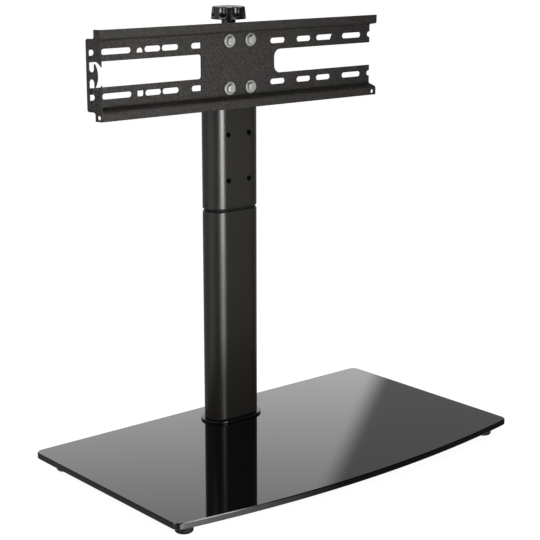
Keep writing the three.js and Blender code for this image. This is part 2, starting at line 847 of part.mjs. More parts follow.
const tongue_root = tongue_half_height + flange_slot_radius;
const tongue = on_flange([
  ...arc(cap_hub, 0, tongue_cap_radius, half_turn + cap_angle, half_turn - cap_angle, arc_steps),
  [flange_slot_front, tongue_cap_half_height],
  [flange_slot_front, tongue_root],
  [flange_depth, tongue_root],
  [flange_depth, -tongue_root],
  [flange_slot_front, -tongue_root],
  [flange_slot_front, -tongue_cap_half_height],
], 0, sheet_thickness);
const flange_hole = on_flange(
  arc(lock_hole_edge_inset, lock_hole_z, lock_hole_diameter / 2, 0, 2 * half_turn, small_round_steps),
  -clearance, sheet_thickness + clearance,
);
const flange = cut(
  joined(cut(solid(flange_blank), [bite]), solid(rear_edge), solid(tongue)),
  [...flange_slots, flange_hole],
);
add(joined(plate, flange), 'mounting_plate', looks.powder_coat);

// Plate bolts and washers
const plate_bolt_places = plate_bolt_rows.flatMap((z) => hole_columns.map((x) => [x, z]));
const plate_washer_front = web_front - clearance - washer_thickness;
plate_bolt_places.forEach(([x, z], i) => {
  const place = (geometry) => geometry
    .applyMatrix4(drawn_front)
    .translate(x, plate_washer_front - clearance, plate_centre_height + z);
  add(bolt(plate_bolt_length, place), `plate_bolt_${i + 1}`, looks.zinc);
});
plate_bolt_places.forEach(([x, z], i) => {
  const ring = washer(plate_washer_diameter)
    .applyMatrix4(drawn_front)
    .translate(x, plate_washer_front, plate_centre_height + z);
  add(solid(ring), `plate_washer_${i + 1}`, looks.zinc);
});

// Lock rod, neck and fluted knob
const rod_bottom = nut_bottom - rod_below_nut;
const rod_top = knob_bottom + rod_in_knob;
const rod_radius = rod_diameter / 2;
const rod_profile = [
  [0, rod_bottom],
  [rod_radius - rod_tip_chamfer, rod_bottom],
  [rod_radius, rod_bottom + rod_tip_chamfer],
  [rod_radius, rod_top],
  [0, rod_top],
];
add(solid(on_axis(turned(rod_profile, round_steps))), 'lock_rod', looks.zinc);

const bush_top = knob_bottom - clearance;
const bush_inner = rod_radius + clearance;
const bush_outer = neck_diameter / 2;
const bush_profile = [
  [bush_inner, neck_bottom],
  [bush_outer - neck_chamfer, neck_bottom],
  [bush_outer, neck_bottom + neck_chamfer],
  [bush_outer, bush_top],
  [bush_inner, bush_top],
  [bush_inner, neck_bottom],
];
add(solid(on_axis(turned(bush_profile, round_steps))), 'knob_bush', looks.satin_black);

const knob_low_radius = knob_bottom_diameter / 2;
const knob_high_radius = knob_top_diameter / 2;
const knob_profile = [
  [0, knob_bottom],
  ...arc(
    knob_low_radius - knob_bottom_round, knob_bottom + knob_bottom_round, knob_bottom_round,
    -quarter_turn, 0, edge_steps,
  ),
  ...arc(
    knob_high_radius - knob_top_round, knob_top - knob_top_round, knob_top_round,
    0, quarter_turn, edge_steps,
  ),
  ...knob_dome_shares.map((share) => [
    knob_high_radius * share,
    knob_top + knob_dome * (1 - share ** 2),
  ]),
];
const flute_radius = knob_flute_diameter / 2;
const flute_floor = knob_bottom + knob_rim_height + flute_radius;
const flute_profile = [
  ...arc(0, flute_floor, flute_radius, -quarter_turn, 0, edge_steps + 1),
  [flute_radius, knob_top + flute_radius],
  [0, knob_top + flute_radius],
];
const flute_centre = knob_high_radius - knob_flute_depth + flute_radius;
const flutes = Array.from({ length: knob_flutes }, (_, i) => on_axis(
  turned(flute_profile, small_round_steps)
    .translate(flute_centre, 0, 0)
    .rotateZ(knob_phase + 2 * half_turn * i / knob_flutes),
));
const knob_bore = on_axis(rod(
  rod_diameter + 2 * clearance, knob_bottom - clearance, rod_top + clearance, round_steps,
));
const knob_blank = solid(on_axis(turned(knob_profile, round_steps + oval_steps)));
add(cut(knob_blank, [...flutes, knob_bore]), 'lock_knob', looks.black_plastic);

const stand = new THREE.Group();
stand.name = 'tv_stand_with_mount';
parts.forEach((mesh) => stand.add(mesh));

export default stand;
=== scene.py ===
import math

import bmesh
import bpy
from mathutils import Matrix, Vector


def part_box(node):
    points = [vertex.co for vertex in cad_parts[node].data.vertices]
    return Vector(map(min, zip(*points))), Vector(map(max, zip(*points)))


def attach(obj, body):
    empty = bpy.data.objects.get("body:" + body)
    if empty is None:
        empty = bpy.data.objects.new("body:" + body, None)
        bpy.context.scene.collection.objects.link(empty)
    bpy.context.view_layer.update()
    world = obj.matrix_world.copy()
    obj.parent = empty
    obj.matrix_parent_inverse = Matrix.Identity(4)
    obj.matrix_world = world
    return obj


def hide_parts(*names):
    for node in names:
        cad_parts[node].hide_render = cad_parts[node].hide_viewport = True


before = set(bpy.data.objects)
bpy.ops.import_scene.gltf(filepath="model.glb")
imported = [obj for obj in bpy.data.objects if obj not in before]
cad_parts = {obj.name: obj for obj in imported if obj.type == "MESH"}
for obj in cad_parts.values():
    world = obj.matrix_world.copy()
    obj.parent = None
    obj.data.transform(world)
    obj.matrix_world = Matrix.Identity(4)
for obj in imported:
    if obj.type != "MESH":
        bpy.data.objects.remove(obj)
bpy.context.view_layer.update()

# Glass base
# A bowed plate of 8 mm black tempered float glass. Its rim is ground flat and polished, with a
# small arris along both edges. The column's four bolts pass through it from below.

MM = 0.001
HALF_TURN = math.pi
QUARTER_TURN = math.pi / 2
FULL_TURN = 2 * math.pi
WELD = 0.004 * MM
UP = Vector((0, 0, 1))

GLASS_CORNER = 11 * MM
GLASS_BOW = 25.5 * MM
GLASS_ARRIS = 1 * MM
GLASS_HOLE = 9 * MM


def run_to(bm, vert, point):
    """Draws a straight edge from a vertex to a point."""
    made = bmesh.ops.extrude_vert_indiv(bm, verts=[vert])["verts"][0]
    made.co = Vector(point)
    return made


def turn_about(bm, vert, centre, angle, steps, axis=UP):
    """Draws an arc of edges by carrying a vertex round an axis through centre."""
    made = bmesh.ops.spin(
        bm, geom=[vert], cent=centre, axis=axis, angle=angle, steps=steps,
    )
    return next(g for g in made["geom_last"] if isinstance(g, bmesh.types.BMVert))


def fill_outline(bm):
    """Joins the outline's two ends and gives it one face."""
    bmesh.ops.remove_doubles(bm, verts=bm.verts, dist=6 * WELD)
    return bmesh.ops.contextual_create(bm, geom=bm.edges[:])["faces"][0]


def push_face(bm, face, travel):
    """Pushes a face along a vector into a closed body."""
    made = bmesh.ops.extrude_face_region(bm, geom=[face])["geom"]
    verts = [g for g in made if isinstance(g, bmesh.types.BMVert)]
    bmesh.ops.translate(bm, verts=verts, vec=Vector(travel))
    bmesh.ops.recalc_face_normals(bm, faces=bm.faces)


def round_edges(bm, wanted, size, segments):
    """Bevels the edges that the test picks."""
    edges = [e for e in bm.edges if wanted(e)]
    bmesh.ops.bevel(
        bm, geom=edges, offset=size, offset_type="OFFSET", segments=segments,
        profile=0.5, affect="EDGES", material=-1, clamp_overlap=False,
    )


def at_level(edge, *levels):
    """True for an edge that lies flat at one of these heights."""
    return any(all(abs(v.co.z - z) < WELD for v in edge.verts) for z in levels)


def through_modifier(bm, kind, **settings):
    """Runs a bmesh through one modifier and gives back the new bmesh."""
    mesh = bpy.data.meshes.new("workpiece")
    bm.to_mesh(mesh)
    bm.free()
    work = bpy.data.objects.new("workpiece", mesh)
    bpy.context.scene.collection.objects.link(work)
    modifier = work.modifiers.new("step", kind)
    for key, value in settings.items():
        setattr(modifier, key, value)
    seen = work.evaluated_get(bpy.context.evaluated_depsgraph_get())
    made = bmesh.new()
    made.from_mesh(seen.to_mesh())
    seen.to_mesh_clear()
    bpy.data.objects.remove(work)
    bpy.data.meshes.remove(mesh)
    return made


def combine(bm, tool, operation="DIFFERENCE"):
    """Cuts, joins or intersects one closed bmesh with another."""
    mesh = bpy.data.meshes.new("tool")
    tool.to_mesh(mesh)
    tool.free()
    cutter = bpy.data.objects.new("tool", mesh)
    bpy.context.scene.collection.objects.link(cutter)
    made = through_modifier(
        bm, "BOOLEAN", object=cutter, operation=operation, solver="EXACT",
    )
    bpy.data.objects.remove(cutter)
    bpy.data.meshes.remove(mesh)
    bmesh.ops.remove_doubles(made, verts=made.verts, dist=WELD / 4)
    bmesh.ops.dissolve_degenerate(made, edges=made.edges, dist=WELD / 4)
    return made


def drill(bm, spots, diameter, low_z, high_z):
    """Drills upright round holes at these spots."""
    tool = bmesh.new()
    for x, y in spots:
        bmesh.ops.create_cone(
            tool, cap_ends=True, segments=48, radius1=diameter / 2, radius2=diameter / 2,
            depth=high_z - low_z, matrix=Matrix.Translation((x, y, (low_z + high_z) / 2)),
        )
    return combine(bm, tool)


def show_piece(name, bm, finish, body, nodes, crease=35):
    """Makes the bmesh a piece that rides on a body and stands for its CAD nodes."""
    mesh = bpy.data.meshes.new(name)
    bm.to_mesh(mesh)
    bm.free()
    mesh.polygons.foreach_set("use_smooth", [True] * len(mesh.polygons))
    mesh.set_sharp_from_angle(angle=math.radians(crease))
    made = bpy.data.objects.new(name, mesh)
    bpy.context.scene.collection.objects.link(made)
    made.data.materials.append(finish)
    shading = made.modifiers.new("even_shading", "WEIGHTED_NORMAL")
    shading.keep_sharp = True
    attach(made, body)
    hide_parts(*nodes)
    return made


def from_hex(code):
    """Turns sRGB hex digits into a linear colour."""
    parts = [int(code[i:i + 2], 16) / 255 for i in (0, 2, 4)]
    lit = [c / 12.92 if c <= 0.04045 else ((c + 0.055) / 1.055) ** 2.4 for c in parts]
    return (*lit, 1.0)


def add_node(tree, kind, settings=None, links=None):
    """Adds a node: settings go on its fields and sockets, links name what feeds it."""
    made = tree.nodes.new(kind)
    for key, value in (settings or {}).items():
        if isinstance(key, str) and hasattr(made, key):
            setattr(made, key, value)
        else:
            made.inputs[key].default_value = value
    for key, source in (links or {}).items():
        tree.links.new(source, made.inputs[key])
    return made


def new_finish(name):
    """Starts a material with an empty node tree."""
    finish = bpy.data.materials.new(name)
    finish.use_nodes = True
    finish.node_tree.nodes.clear()
    return finish, finish.node_tree


# Black tempered float glass: a mirror on black. The rollers of the furnace leave a slow wave
# in it, and a few specks of dust lie on it.
glass_finish, tree = new_finish("black_tempered_glass")
place = add_node(tree, "ShaderNodeTexCoord").outputs["Object"]
dust = add_node(tree, "ShaderNodeTexVoronoi", {"Scale": 42.0}, {"Vector": place})
speck = add_node(tree, "ShaderNodeMapRange", {
    "From Min": 0.008, "From Max": 0.016, "To Min": 1.0, "To Max": 0.0,
}, {"Value": dust.outputs["Distance"]})
haze = add_node(tree, "ShaderNodeTexNoise", {"Scale": 9.0, "Detail": 3.0}, {"Vector": place})
haze_level = add_node(tree, "ShaderNodeMapRange", {
    "From Min": 0.35, "From Max": 0.7, "To Min": 0.012, "To Max": 0.03,
}, {"Value": haze.outputs["Fac"]})
tint = add_node(tree, "ShaderNodeMix", {
    "data_type": "RGBA", 6: from_hex("060708"), 7: from_hex("4A4A48"),
}, {0: speck.outputs["Result"]})
wave = add_node(tree, "ShaderNodeTexNoise", {"Scale": 6.0, "Detail": 0.0}, {"Vector": place})
wave_bump = add_node(tree, "ShaderNodeBump", {
    "Strength": 0.02, "Distance": 0.002,
}, {"Height": wave.outputs["Fac"]})
shader = add_node(tree, "ShaderNodeBsdfPrincipled", {"IOR": 1.52}, {
    "Base Color": tint.outputs[2],
    "Roughness": haze_level.outputs["Result"],
    "Normal": wave_bump.outputs["Normal"],
})
add_node(tree, "ShaderNodeOutputMaterial", links={"Surface": shader.outputs["BSDF"]})

# The ground rim of the glass: fine lines run along it under the polish.
rim_finish, tree = new_finish("polished_glass_rim")
place = add_node(tree, "ShaderNodeTexCoord").outputs["Object"]
stretched = add_node(tree, "ShaderNodeMapping", {"Scale": (60.0, 60.0, 2200.0)}, {
    "Vector": place,
})
lines = add_node(tree, "ShaderNodeTexNoise", {"Scale": 1.0, "Detail": 2.0}, {
    "Vector": stretched.outputs["Vector"],
})
rim_level = add_node(tree, "ShaderNodeMapRange", {
    "From Min": 0.3, "From Max": 0.7, "To Min": 0.08, "To Max": 0.18,
}, {"Value": lines.outputs["Fac"]})
tint = add_node(tree, "ShaderNodeMix", {
    "data_type": "RGBA", 6: from_hex("060607"), 7: from_hex("0C0B0E"),
}, {0: lines.outputs["Fac"]})
shader = add_node(tree, "ShaderNodeBsdfPrincipled", {"IOR": 1.5}, {
    "Base Color": tint.outputs[2], "Roughness": rim_level.outputs["Result"],
})
add_node(tree, "ShaderNodeOutputMaterial", links={"Surface": shader.outputs["BSDF"]})

base_bolts = [f"base_bolt_{i}" for i in (1, 2, 3, 4)]


def middle(node):
    """Centre of a CAD node's box."""
    low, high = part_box(node)
    return (low + high) / 2


bolt_spots = [(middle(node).x, middle(node).y) for node in base_bolts]
low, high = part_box("glass_base")
half_width, rear_y = high.x, high.y
glass_under, glass_top = low.z, high.z
bow_radius = (half_width ** 2 + GLASS_BOW ** 2) / (2 * GLASS_BOW)
bow_centre = (0, low.y + bow_radius, 0)
corner_x = half_width - GLASS_CORNER
corner_reach = bow_radius - GLASS_CORNER
corner_y = bow_centre[1] - math.sqrt(corner_reach ** 2 - corner_x ** 2)
bow_angle = math.asin(corner_x / corner_reach)

bm = bmesh.new()
vert = bm.verts.new((half_width, corner_y, glass_under))
vert = run_to(bm, vert, (half_width, rear_y - GLASS_CORNER, glass_under))
vert = turn_about(bm, vert, (corner_x, rear_y - GLASS_CORNER, 0), QUARTER_TURN, 14)
vert = run_to(bm, vert, (-corner_x, rear_y, glass_under))
vert = turn_about(bm, vert, (-corner_x, rear_y - GLASS_CORNER, 0), QUARTER_TURN, 14)
vert = run_to(bm, vert, (-half_width, corner_y, glass_under))
vert = turn_about(bm, vert, (-corner_x, corner_y, 0), QUARTER_TURN - bow_angle, 12)
vert = turn_about(bm, vert, bow_centre, 2 * bow_angle, 120)
vert = turn_about(bm, vert, (corner_x, corner_y, 0), QUARTER_TURN - bow_angle, 12)
push_face(bm, fill_outline(bm), UP * (glass_top - glass_under))
round_edges(bm, lambda e: at_level(e, glass_top, glass_under), GLASS_ARRIS, 1)
bm = drill(bm, bolt_spots, GLASS_HOLE, glass_under - MM, glass_top + MM)
for face in bm.faces:
    face.material_index = 0 if abs(face.normal.z) > 0.999 else 1
glass = show_piece("glass_base_visual", bm, glass_finish, "stand", ["glass_base"])
glass.data.materials.append(rim_finish)

# Feet
# Moulded rubber bumpers, round, with a dimple in the sole and a soft lower edge. Each is pressed
# over a steel disc that is bonded to the glass.

FOOT_SOLE_ROUND = 3 * MM
FOOT_TOP_ROUND = 0.5 * MM
DIMPLE_WIDTH = 9 * MM
DIMPLE_DEPTH = 1.2 * MM


def turn_profile(profile, centre, steps=72):
    """Spins a closed profile of (radius, height) points round an upright axis."""
    bm = bmesh.new()
    x, y = centre
    first = bm.verts.new((x + profile[0][0], y, profile[0][1]))
    vert = first
    for radius, z in profile[1:]:
        vert = run_to(bm, vert, (x + radius, y, z))
    if profile[0][0] > WELD:
        bm.edges.new((vert, first))
    bmesh.ops.spin(
        bm, geom=bm.verts[:] + bm.edges[:], cent=(x, y, 0), axis=UP,
        angle=FULL_TURN, steps=steps, use_merge=True,
    )
    bmesh.ops.remove_doubles(bm, verts=bm.verts, dist=WELD)
    bmesh.ops.recalc_face_normals(bm, faces=bm.faces)
    return bm


# Moulded rubber: matt, with a fine cast grain and a little dust in it.
rubber_finish, tree = new_finish("moulded_rubber")
place = add_node(tree, "ShaderNodeTexCoord").outputs["Object"]
grain = add_node(tree, "ShaderNodeTexNoise", {"Scale": 1400.0, "Detail": 3.0}, {"Vector": place})
cloud = add_node(tree, "ShaderNodeTexNoise", {"Scale": 120.0, "Detail": 2.0}, {"Vector": place})
tint = add_node(tree, "ShaderNodeMix", {
    "data_type": "RGBA", 6: from_hex("0B0B0B"), 7: from_hex("161616"),
}, {0: cloud.outputs["Fac"]})
level = add_node(tree, "ShaderNodeMapRange", {"To Min": 0.55, "To Max": 0.8}, {
    "Value": grain.outputs["Fac"],
})
relief = add_node(tree, "ShaderNodeBump", {"Strength": 0.25, "Distance": 0.0003}, {
    "Height": grain.outputs["Fac"],
})
shader = add_node(tree, "ShaderNodeBsdfPrincipled", {"IOR": 1.52}, {
    "Base Color": tint.outputs[2], "Roughness": level.outputs["Result"],
    "Normal": relief.outputs["Normal"],
})
add_node(tree, "ShaderNodeOutputMaterial", links={"Surface": shader.outputs["BSDF"]})

for i in (1, 2, 3, 4):
    low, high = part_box(f"foot_pad_{i}")
    disc_low, disc_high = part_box(f"foot_disc_{i}")
    spot = middle(f"foot_pad_{i}")
    radius = (high.x - low.x) / 2
    pocket = (disc_high.x - disc_low.x) / 2 + 0.3 * MM
    pocket_floor = disc_low.z - 0.3 * MM
    bm = turn_profile([
        (0, DIMPLE_DEPTH), (DIMPLE_WIDTH / 2, 0), (radius, 0), (radius, high.z),
        (pocket, high.z), (pocket, pocket_floor), (0, pocket_floor),
    ], (spot.x, spot.y))
    sole = [e for e in bm.edges if at_level(e, 0) and
            all((v.co.xy - spot.xy).length > radius - WELD for v in e.verts)]
    round_edges(bm, lambda e: e in sole, FOOT_SOLE_ROUND, 6)
    brim = [e for e in bm.edges if at_level(e, high.z) and
            all((v.co.xy - spot.xy).length > radius - WELD for v in e.verts)]
    round_edges(bm, lambda e: e in brim, FOOT_TOP_ROUND, 3)
    show_piece(f"foot_pad_{i}_visual", bm, rubber_finish, "stand", [f"foot_pad_{i}"])

# Steel inner parts
# Discs, blocks, caps, sleeve and pin are machined mild steel, left bare. They keep their CAD
# solids and only take their finish here.

# Bare machined steel: grey, with short tool lines and a dull patchy oil film.
steel_finish, tree = new_finish("bare_machined_steel")
place = add_node(tree, "ShaderNodeTexCoord").outputs["Object"]
stretched = add_node(tree, "ShaderNodeMapping", {"Scale": (150.0, 150.0, 1800.0)}, {
    "Vector": place,
})
lines = add_node(tree, "ShaderNodeTexNoise", {"Scale": 1.0, "Detail": 3.0}, {
    "Vector": stretched.outputs["Vector"],
})
film = add_node(tree, "ShaderNodeTexNoise", {"Scale": 60.0, "Detail": 2.0}, {"Vector": place})
tint = add_node(tree, "ShaderNodeMix", {
    "data_type": "RGBA", 6: from_hex("7C7F83"), 7: from_hex("A2A5A8"),
}, {0: film.outputs["Fac"]})
level = add_node(tree, "ShaderNodeMapRange", {"To Min": 0.3, "To Max": 0.55}, {
    "Value": lines.outputs["Fac"],
})
relief = add_node(tree, "ShaderNodeBump", {"Strength": 0.15, "Distance": 0.0002}, {
    "Height": lines.outputs["Fac"],
})
shader = add_node(tree, "ShaderNodeBsdfPrincipled", {"Metallic": 1.0}, {
    "Base Color": tint.outputs[2], "Roughness": level.outputs["Result"],
    "Normal": relief.outputs["Normal"],
})
add_node(tree, "ShaderNodeOutputMaterial", links={"Surface": shader.outputs["BSDF"]})


def dress(node, finish):
    """Gives a CAD node that stays in view its finish."""
    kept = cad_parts[node]
    kept.data.materials.clear()
    kept.data.materials.append(finish)


for node in ("foot_disc_1", "foot_disc_2", "foot_disc_3", "foot_disc_4", "foot_block",
             "lower_swivel_cap", "upper_swivel_cap", "pivot_sleeve", "stop_pin"):
    dress(node, steel_finish)

# Clamp under the glass
# A rubber pad and a steel plate spread the load of the four base bolts. Both are stamped with
# round corners, the plate is painted satin black.

CLAMP_CORNER = 8 * MM
CLAMP_HOLE = 6.6 * MM
STAMPED_EDGE = 0.3 * MM

# Satin black paint on metal: smooth, with a faint orange peel.
paint_finish, tree = new_finish("satin_black_paint")
place = add_node(tree, "ShaderNodeTexCoord").outputs["Object"]
peel = add_node(tree, "ShaderNodeTexNoise", {"Scale": 700.0, "Detail": 2.0}, {"Vector": place})
cloud = add_node(tree, "ShaderNodeTexNoise", {"Scale": 40.0, "Detail": 3.0}, {"Vector": place})
tint = add_node(tree, "ShaderNodeMix", {
    "data_type": "RGBA", 6: from_hex("151516"), 7: from_hex("1D1D1E"),
}, {0: cloud.outputs["Fac"]})
level = add_node(tree, "ShaderNodeMapRange", {"To Min": 0.3, "To Max": 0.42}, {
    "Value": cloud.outputs["Fac"],
})
relief = add_node(tree, "ShaderNodeBump", {"Strength": 0.08, "Distance": 0.0002}, {
    "Height": peel.outputs["Fac"],
})
shader = add_node(tree, "ShaderNodeBsdfPrincipled", {"IOR": 1.45}, {
    "Base Color": tint.outputs[2], "Roughness": level.outputs["Result"],
    "Normal": relief.outputs["Normal"],
})
add_node(tree, "ShaderNodeOutputMaterial", links={"Surface": shader.outputs["BSDF"]})

dress("backing_bar", paint_finish)
for node, finish, slot in (
    ("clamp_pad", rubber_finish, "foot_rubber"),
    ("clamp_plate", paint_finish, "bare_steel"),
):
    low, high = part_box(node)
    r = CLAMP_CORNER
    bm = bmesh.new()
    vert = bm.verts.new((high.x, low.y + r, low.z))
    for x, y, cx, cy in (
        (high.x, high.y - r, high.x - r, high.y - r),
        (low.x + r, high.y, low.x + r, high.y - r),
        (low.x, low.y + r, low.x + r, low.y + r),
        (high.x - r, low.y, high.x - r, low.y + r),
    ):
        vert = run_to(bm, vert, (x, y, low.z))
        vert = turn_about(bm, vert, (cx, cy, 0), QUARTER_TURN, 10)
    push_face(bm, fill_outline(bm), UP * (high.z - low.z))
    round_edges(bm, lambda e: at_level(e, low.z, high.z), STAMPED_EDGE, 2)
    bm = drill(bm, bolt_spots, CLAMP_HOLE, low.z - MM, high.z + MM)
    show_piece(f"{node}_visual", bm, finish, "stand", [node])

# Bolts and washers
# Standard 6 mm hexagon bolts and flat washers, turned and stamped steel with a bright zinc
# plate. Four come up through the glass, four hold the mounting plate to the column.

BOLT_DIAMETER = 6 * MM
BOLT_HEAD = 10 * MM
BOLT_HEAD_HEIGHT = 4.2 * MM
BOLT_HEAD_CHAMFER = 1.1 * MM
BOLT_TIP_CHAMFER = 0.8 * MM
BOLT_EDGE = 0.15 * MM
THREAD_PITCH = 1 * MM
THREAD_DEPTH = 0.35 * MM
THREAD_LENGTH = 12 * MM
WASHER_EDGE = 0.35 * MM
WASHER_BORE = 6.6 * MM
LAY_FORWARD = Matrix.Rotation(-QUARTER_TURN, 4, "X")

# Bright zinc plate: a clear, neutral grey metal with a fine crystal mottle.
zinc_finish, tree = new_finish("bright_zinc_plate")
place = add_node(tree, "ShaderNodeTexCoord").outputs["Object"]
mottle = add_node(tree, "ShaderNodeTexNoise", {"Scale": 900.0, "Detail": 3.0}, {"Vector": place})
cells = add_node(tree, "ShaderNodeTexVoronoi", {"Scale": 500.0}, {"Vector": place})
tint = add_node(tree, "ShaderNodeMix", {
    "data_type": "RGBA", 6: from_hex("ABADAA"), 7: from_hex("D6D8D4"),
}, {0: mottle.outputs["Fac"]})
level = add_node(tree, "ShaderNodeMapRange", {"To Min": 0.36, "To Max": 0.52}, {
    "Value": cells.outputs["Distance"],
})
relief = add_node(tree, "ShaderNodeBump", {"Strength": 0.12, "Distance": 0.0002}, {
    "Height": mottle.outputs["Fac"],
})
shader = add_node(tree, "ShaderNodeBsdfPrincipled", {"Metallic": 1.0}, {
    "Base Color": tint.outputs[2], "Roughness": level.outputs["Result"],
    "Normal": relief.outputs["Normal"],
})
add_node(tree, "ShaderNodeOutputMaterial", links={"Surface": shader.outputs["BSDF"]})


def bolt_on_end(length):
    """A bolt standing on its head: the seat is at height zero, the tip points up."""
    bm = bmesh.new()
    bmesh.ops.create_cone(
        bm, cap_ends=True, segments=6, radius1=BOLT_HEAD / math.sqrt(3),
        radius2=BOLT_HEAD / math.sqrt(3), depth=BOLT_HEAD_HEIGHT,
        matrix=Matrix.Translation((0, 0, -BOLT_HEAD_HEIGHT / 2)),
    )
    crown = BOLT_HEAD / math.sqrt(3) + BOLT_EDGE
    dome = turn_profile([
        (0, -BOLT_HEAD_HEIGHT), (BOLT_HEAD / 2 - BOLT_EDGE, -BOLT_HEAD_HEIGHT),
        (crown, BOLT_HEAD_CHAMFER / 2 - BOLT_HEAD_HEIGHT), (crown, 0), (0, 0),
    ], (0, 0))
    bm = combine(bm, dome, "INTERSECT")
    bm = through_modifier(
        bm, "BEVEL", width=BOLT_EDGE, segments=2, limit_method="ANGLE",
        angle_limit=math.radians(25),
    )
    radius = BOLT_DIAMETER / 2
    shank = [(0, -BOLT_HEAD_HEIGHT / 2), (radius, -BOLT_HEAD_HEIGHT / 2)]
    z = length - THREAD_LENGTH
    shank.append((radius, z))
    while z < length - BOLT_TIP_CHAMFER - THREAD_PITCH:
        shank.append((radius - THREAD_DEPTH, z + THREAD_PITCH / 2))
        shank.append((radius, z + THREAD_PITCH))
        z += THREAD_PITCH
    shank += [(radius, length - BOLT_TIP_CHAMFER), (radius - BOLT_TIP_CHAMFER, length), (0, length)]
    return combine(bm, turn_profile(shank, (0, 0), 40), "UNION")


def flat_washer(diameter, thickness):
    """A washer lying flat from height zero up."""
    inner, outer = WASHER_BORE / 2, diameter / 2
    bm = turn_profile([(inner, 0), (outer, 0), (outer, thickness), (inner, thickness)], (0, 0))
    round_edges(bm, lambda e: at_level(e, 0, thickness), WASHER_EDGE, 3)
    return bm


for i in (1, 2, 3, 4):
    low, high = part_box(f"base_bolt_{i}")
    spot = middle(f"base_bolt_{i}")
    seat = low.z + BOLT_HEAD_HEIGHT
    bm = bolt_on_end(high.z - seat)
    bmesh.ops.translate(bm, verts=bm.verts, vec=(spot.x, spot.y, seat))
    show_piece(f"base_bolt_{i}_visual", bm, zinc_finish, "stand", [f"base_bolt_{i}"])
    low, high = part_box(f"base_washer_{i}")
    bm = flat_washer(high.x - low.x, high.z - low.z)
    bmesh.ops.translate(bm, verts=bm.verts, vec=(spot.x, spot.y, low.z))
    show_piece(
        f"base_washer_{i}_visual", bm, zinc_finish, "stand", [f"base_washer_{i}"],
    )

# Collar
# A moulded black ring plate with a rounded brim. It lies between the glass and the lower column
# and keeps the tube's end off the glass.

COLLAR_ROUND = 1.2 * MM
COLLAR_LOWER_ROUND = 0.4 * MM


def draw_oval(bm, width, depth, centre_y, z, steps=40):
    """Draws a flat oval: two straight sides joined by half circles."""
    reach, radius = (width - depth) / 2, depth / 2
    vert = bm.verts.new((reach, centre_y - radius, z))
    vert = turn_about(bm, vert, (reach, centre_y, z), HALF_TURN, steps)
    vert = run_to(bm, vert, (-reach, centre_y + radius, z))
    vert = turn_about(bm, vert, (-reach, centre_y, z), HALF_TURN, steps)
    run_to(bm, vert, (reach, centre_y - radius, z))


# Moulded black plastic with a polished mould: glossy, with a slow sink in it.
plastic_finish, tree = new_finish("glossy_black_moulding")
place = add_node(tree, "ShaderNodeTexCoord").outputs["Object"]
sink = add_node(tree, "ShaderNodeTexNoise", {"Scale": 90.0, "Detail": 2.0}, {"Vector": place})
tint = add_node(tree, "ShaderNodeMix", {
    "data_type": "RGBA", 6: from_hex("0C0C0D"), 7: from_hex("151516"),
}, {0: sink.outputs["Fac"]})
level = add_node(tree, "ShaderNodeMapRange", {"To Min": 0.14, "To Max": 0.26}, {
    "Value": sink.outputs["Fac"],
})
relief = add_node(tree, "ShaderNodeBump", {"Strength": 0.05, "Distance": 0.0005}, {
    "Height": sink.outputs["Fac"],
})
shader = add_node(tree, "ShaderNodeBsdfPrincipled", {"IOR": 1.5}, {
    "Base Color": tint.outputs[2], "Roughness": level.outputs["Result"],
    "Normal": relief.outputs["Normal"],
})
add_node(tree, "ShaderNodeOutputMaterial", links={"Surface": shader.outputs["BSDF"]})

low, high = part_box("base_collar")
column_y = middle("base_collar").y
bm = bmesh.new()
draw_oval(bm, high.x - low.x, high.y - low.y, column_y, low.z)
push_face(bm, fill_outline(bm), UP * (high.z - low.z))
round_edges(bm, lambda e: at_level(e, high.z), COLLAR_ROUND, 5)
round_edges(bm, lambda e: at_level(e, low.z), COLLAR_LOWER_ROUND, 2)
bm = drill(bm, bolt_spots, CLAMP_HOLE, low.z - MM, high.z + MM)
show_piece("base_collar_visual", bm, plastic_finish, "stand", ["base_collar"])

# Column tubes
# Two lengths of the same flat oval extruded aluminium tube, coated satin black. The lower one
# stands on the collar, the upper one turns on it. The upper one has two sets of bolt holes.

TUBE_WALL = 3 * MM
TUBE_RIM = 1.8 * MM
HOLE_DIAMETER = 6.6 * MM
SPARE_HOLE = 7.4 * MM

# Satin black coat on extruded aluminium: faint draw lines run up the tube under the coat.
tube_finish, tree = new_finish("satin_black_extrusion")
place = add_node(tree, "ShaderNodeTexCoord").outputs["Object"]
stretched = add_node(tree, "ShaderNodeMapping", {"Scale": (1300.0, 1300.0, 9.0)}, {
    "Vector": place,
})
draw_lines = add_node(tree, "ShaderNodeTexNoise", {"Scale": 1.0, "Detail": 2.0}, {
    "Vector": stretched.outputs["Vector"],
})
peel = add_node(tree, "ShaderNodeTexNoise", {"Scale": 1100.0, "Detail": 2.0}, {"Vector": place})
cloud = add_node(tree, "ShaderNodeTexNoise", {"Scale": 14.0, "Detail": 3.0}, {"Vector": place})
tint = add_node(tree, "ShaderNodeMix", {
    "data_type": "RGBA", 6: from_hex("201E1B"), 7: from_hex("272521"),
}, {0: draw_lines.outputs["Fac"]})
level = add_node(tree, "ShaderNodeMapRange", {"To Min": 0.27, "To Max": 0.36}, {
    "Value": cloud.outputs["Fac"],
})
relief = add_node(tree, "ShaderNodeBump", {"Strength": 0.05, "Distance": 0.0002}, {
    "Height": draw_lines.outputs["Fac"],
})
relief = add_node(tree, "ShaderNodeBump", {"Strength": 0.06, "Distance": 0.0002}, {
    "Height": peel.outputs["Fac"], "Normal": relief.outputs["Normal"],
})
shader = add_node(tree, "ShaderNodeBsdfPrincipled", {"IOR": 1.5}, {
    "Base Color": tint.outputs[2], "Roughness": level.outputs["Result"],
    "Normal": relief.outputs["Normal"],
})
add_node(tree, "ShaderNodeOutputMaterial", links={"Surface": shader.outputs["BSDF"]})


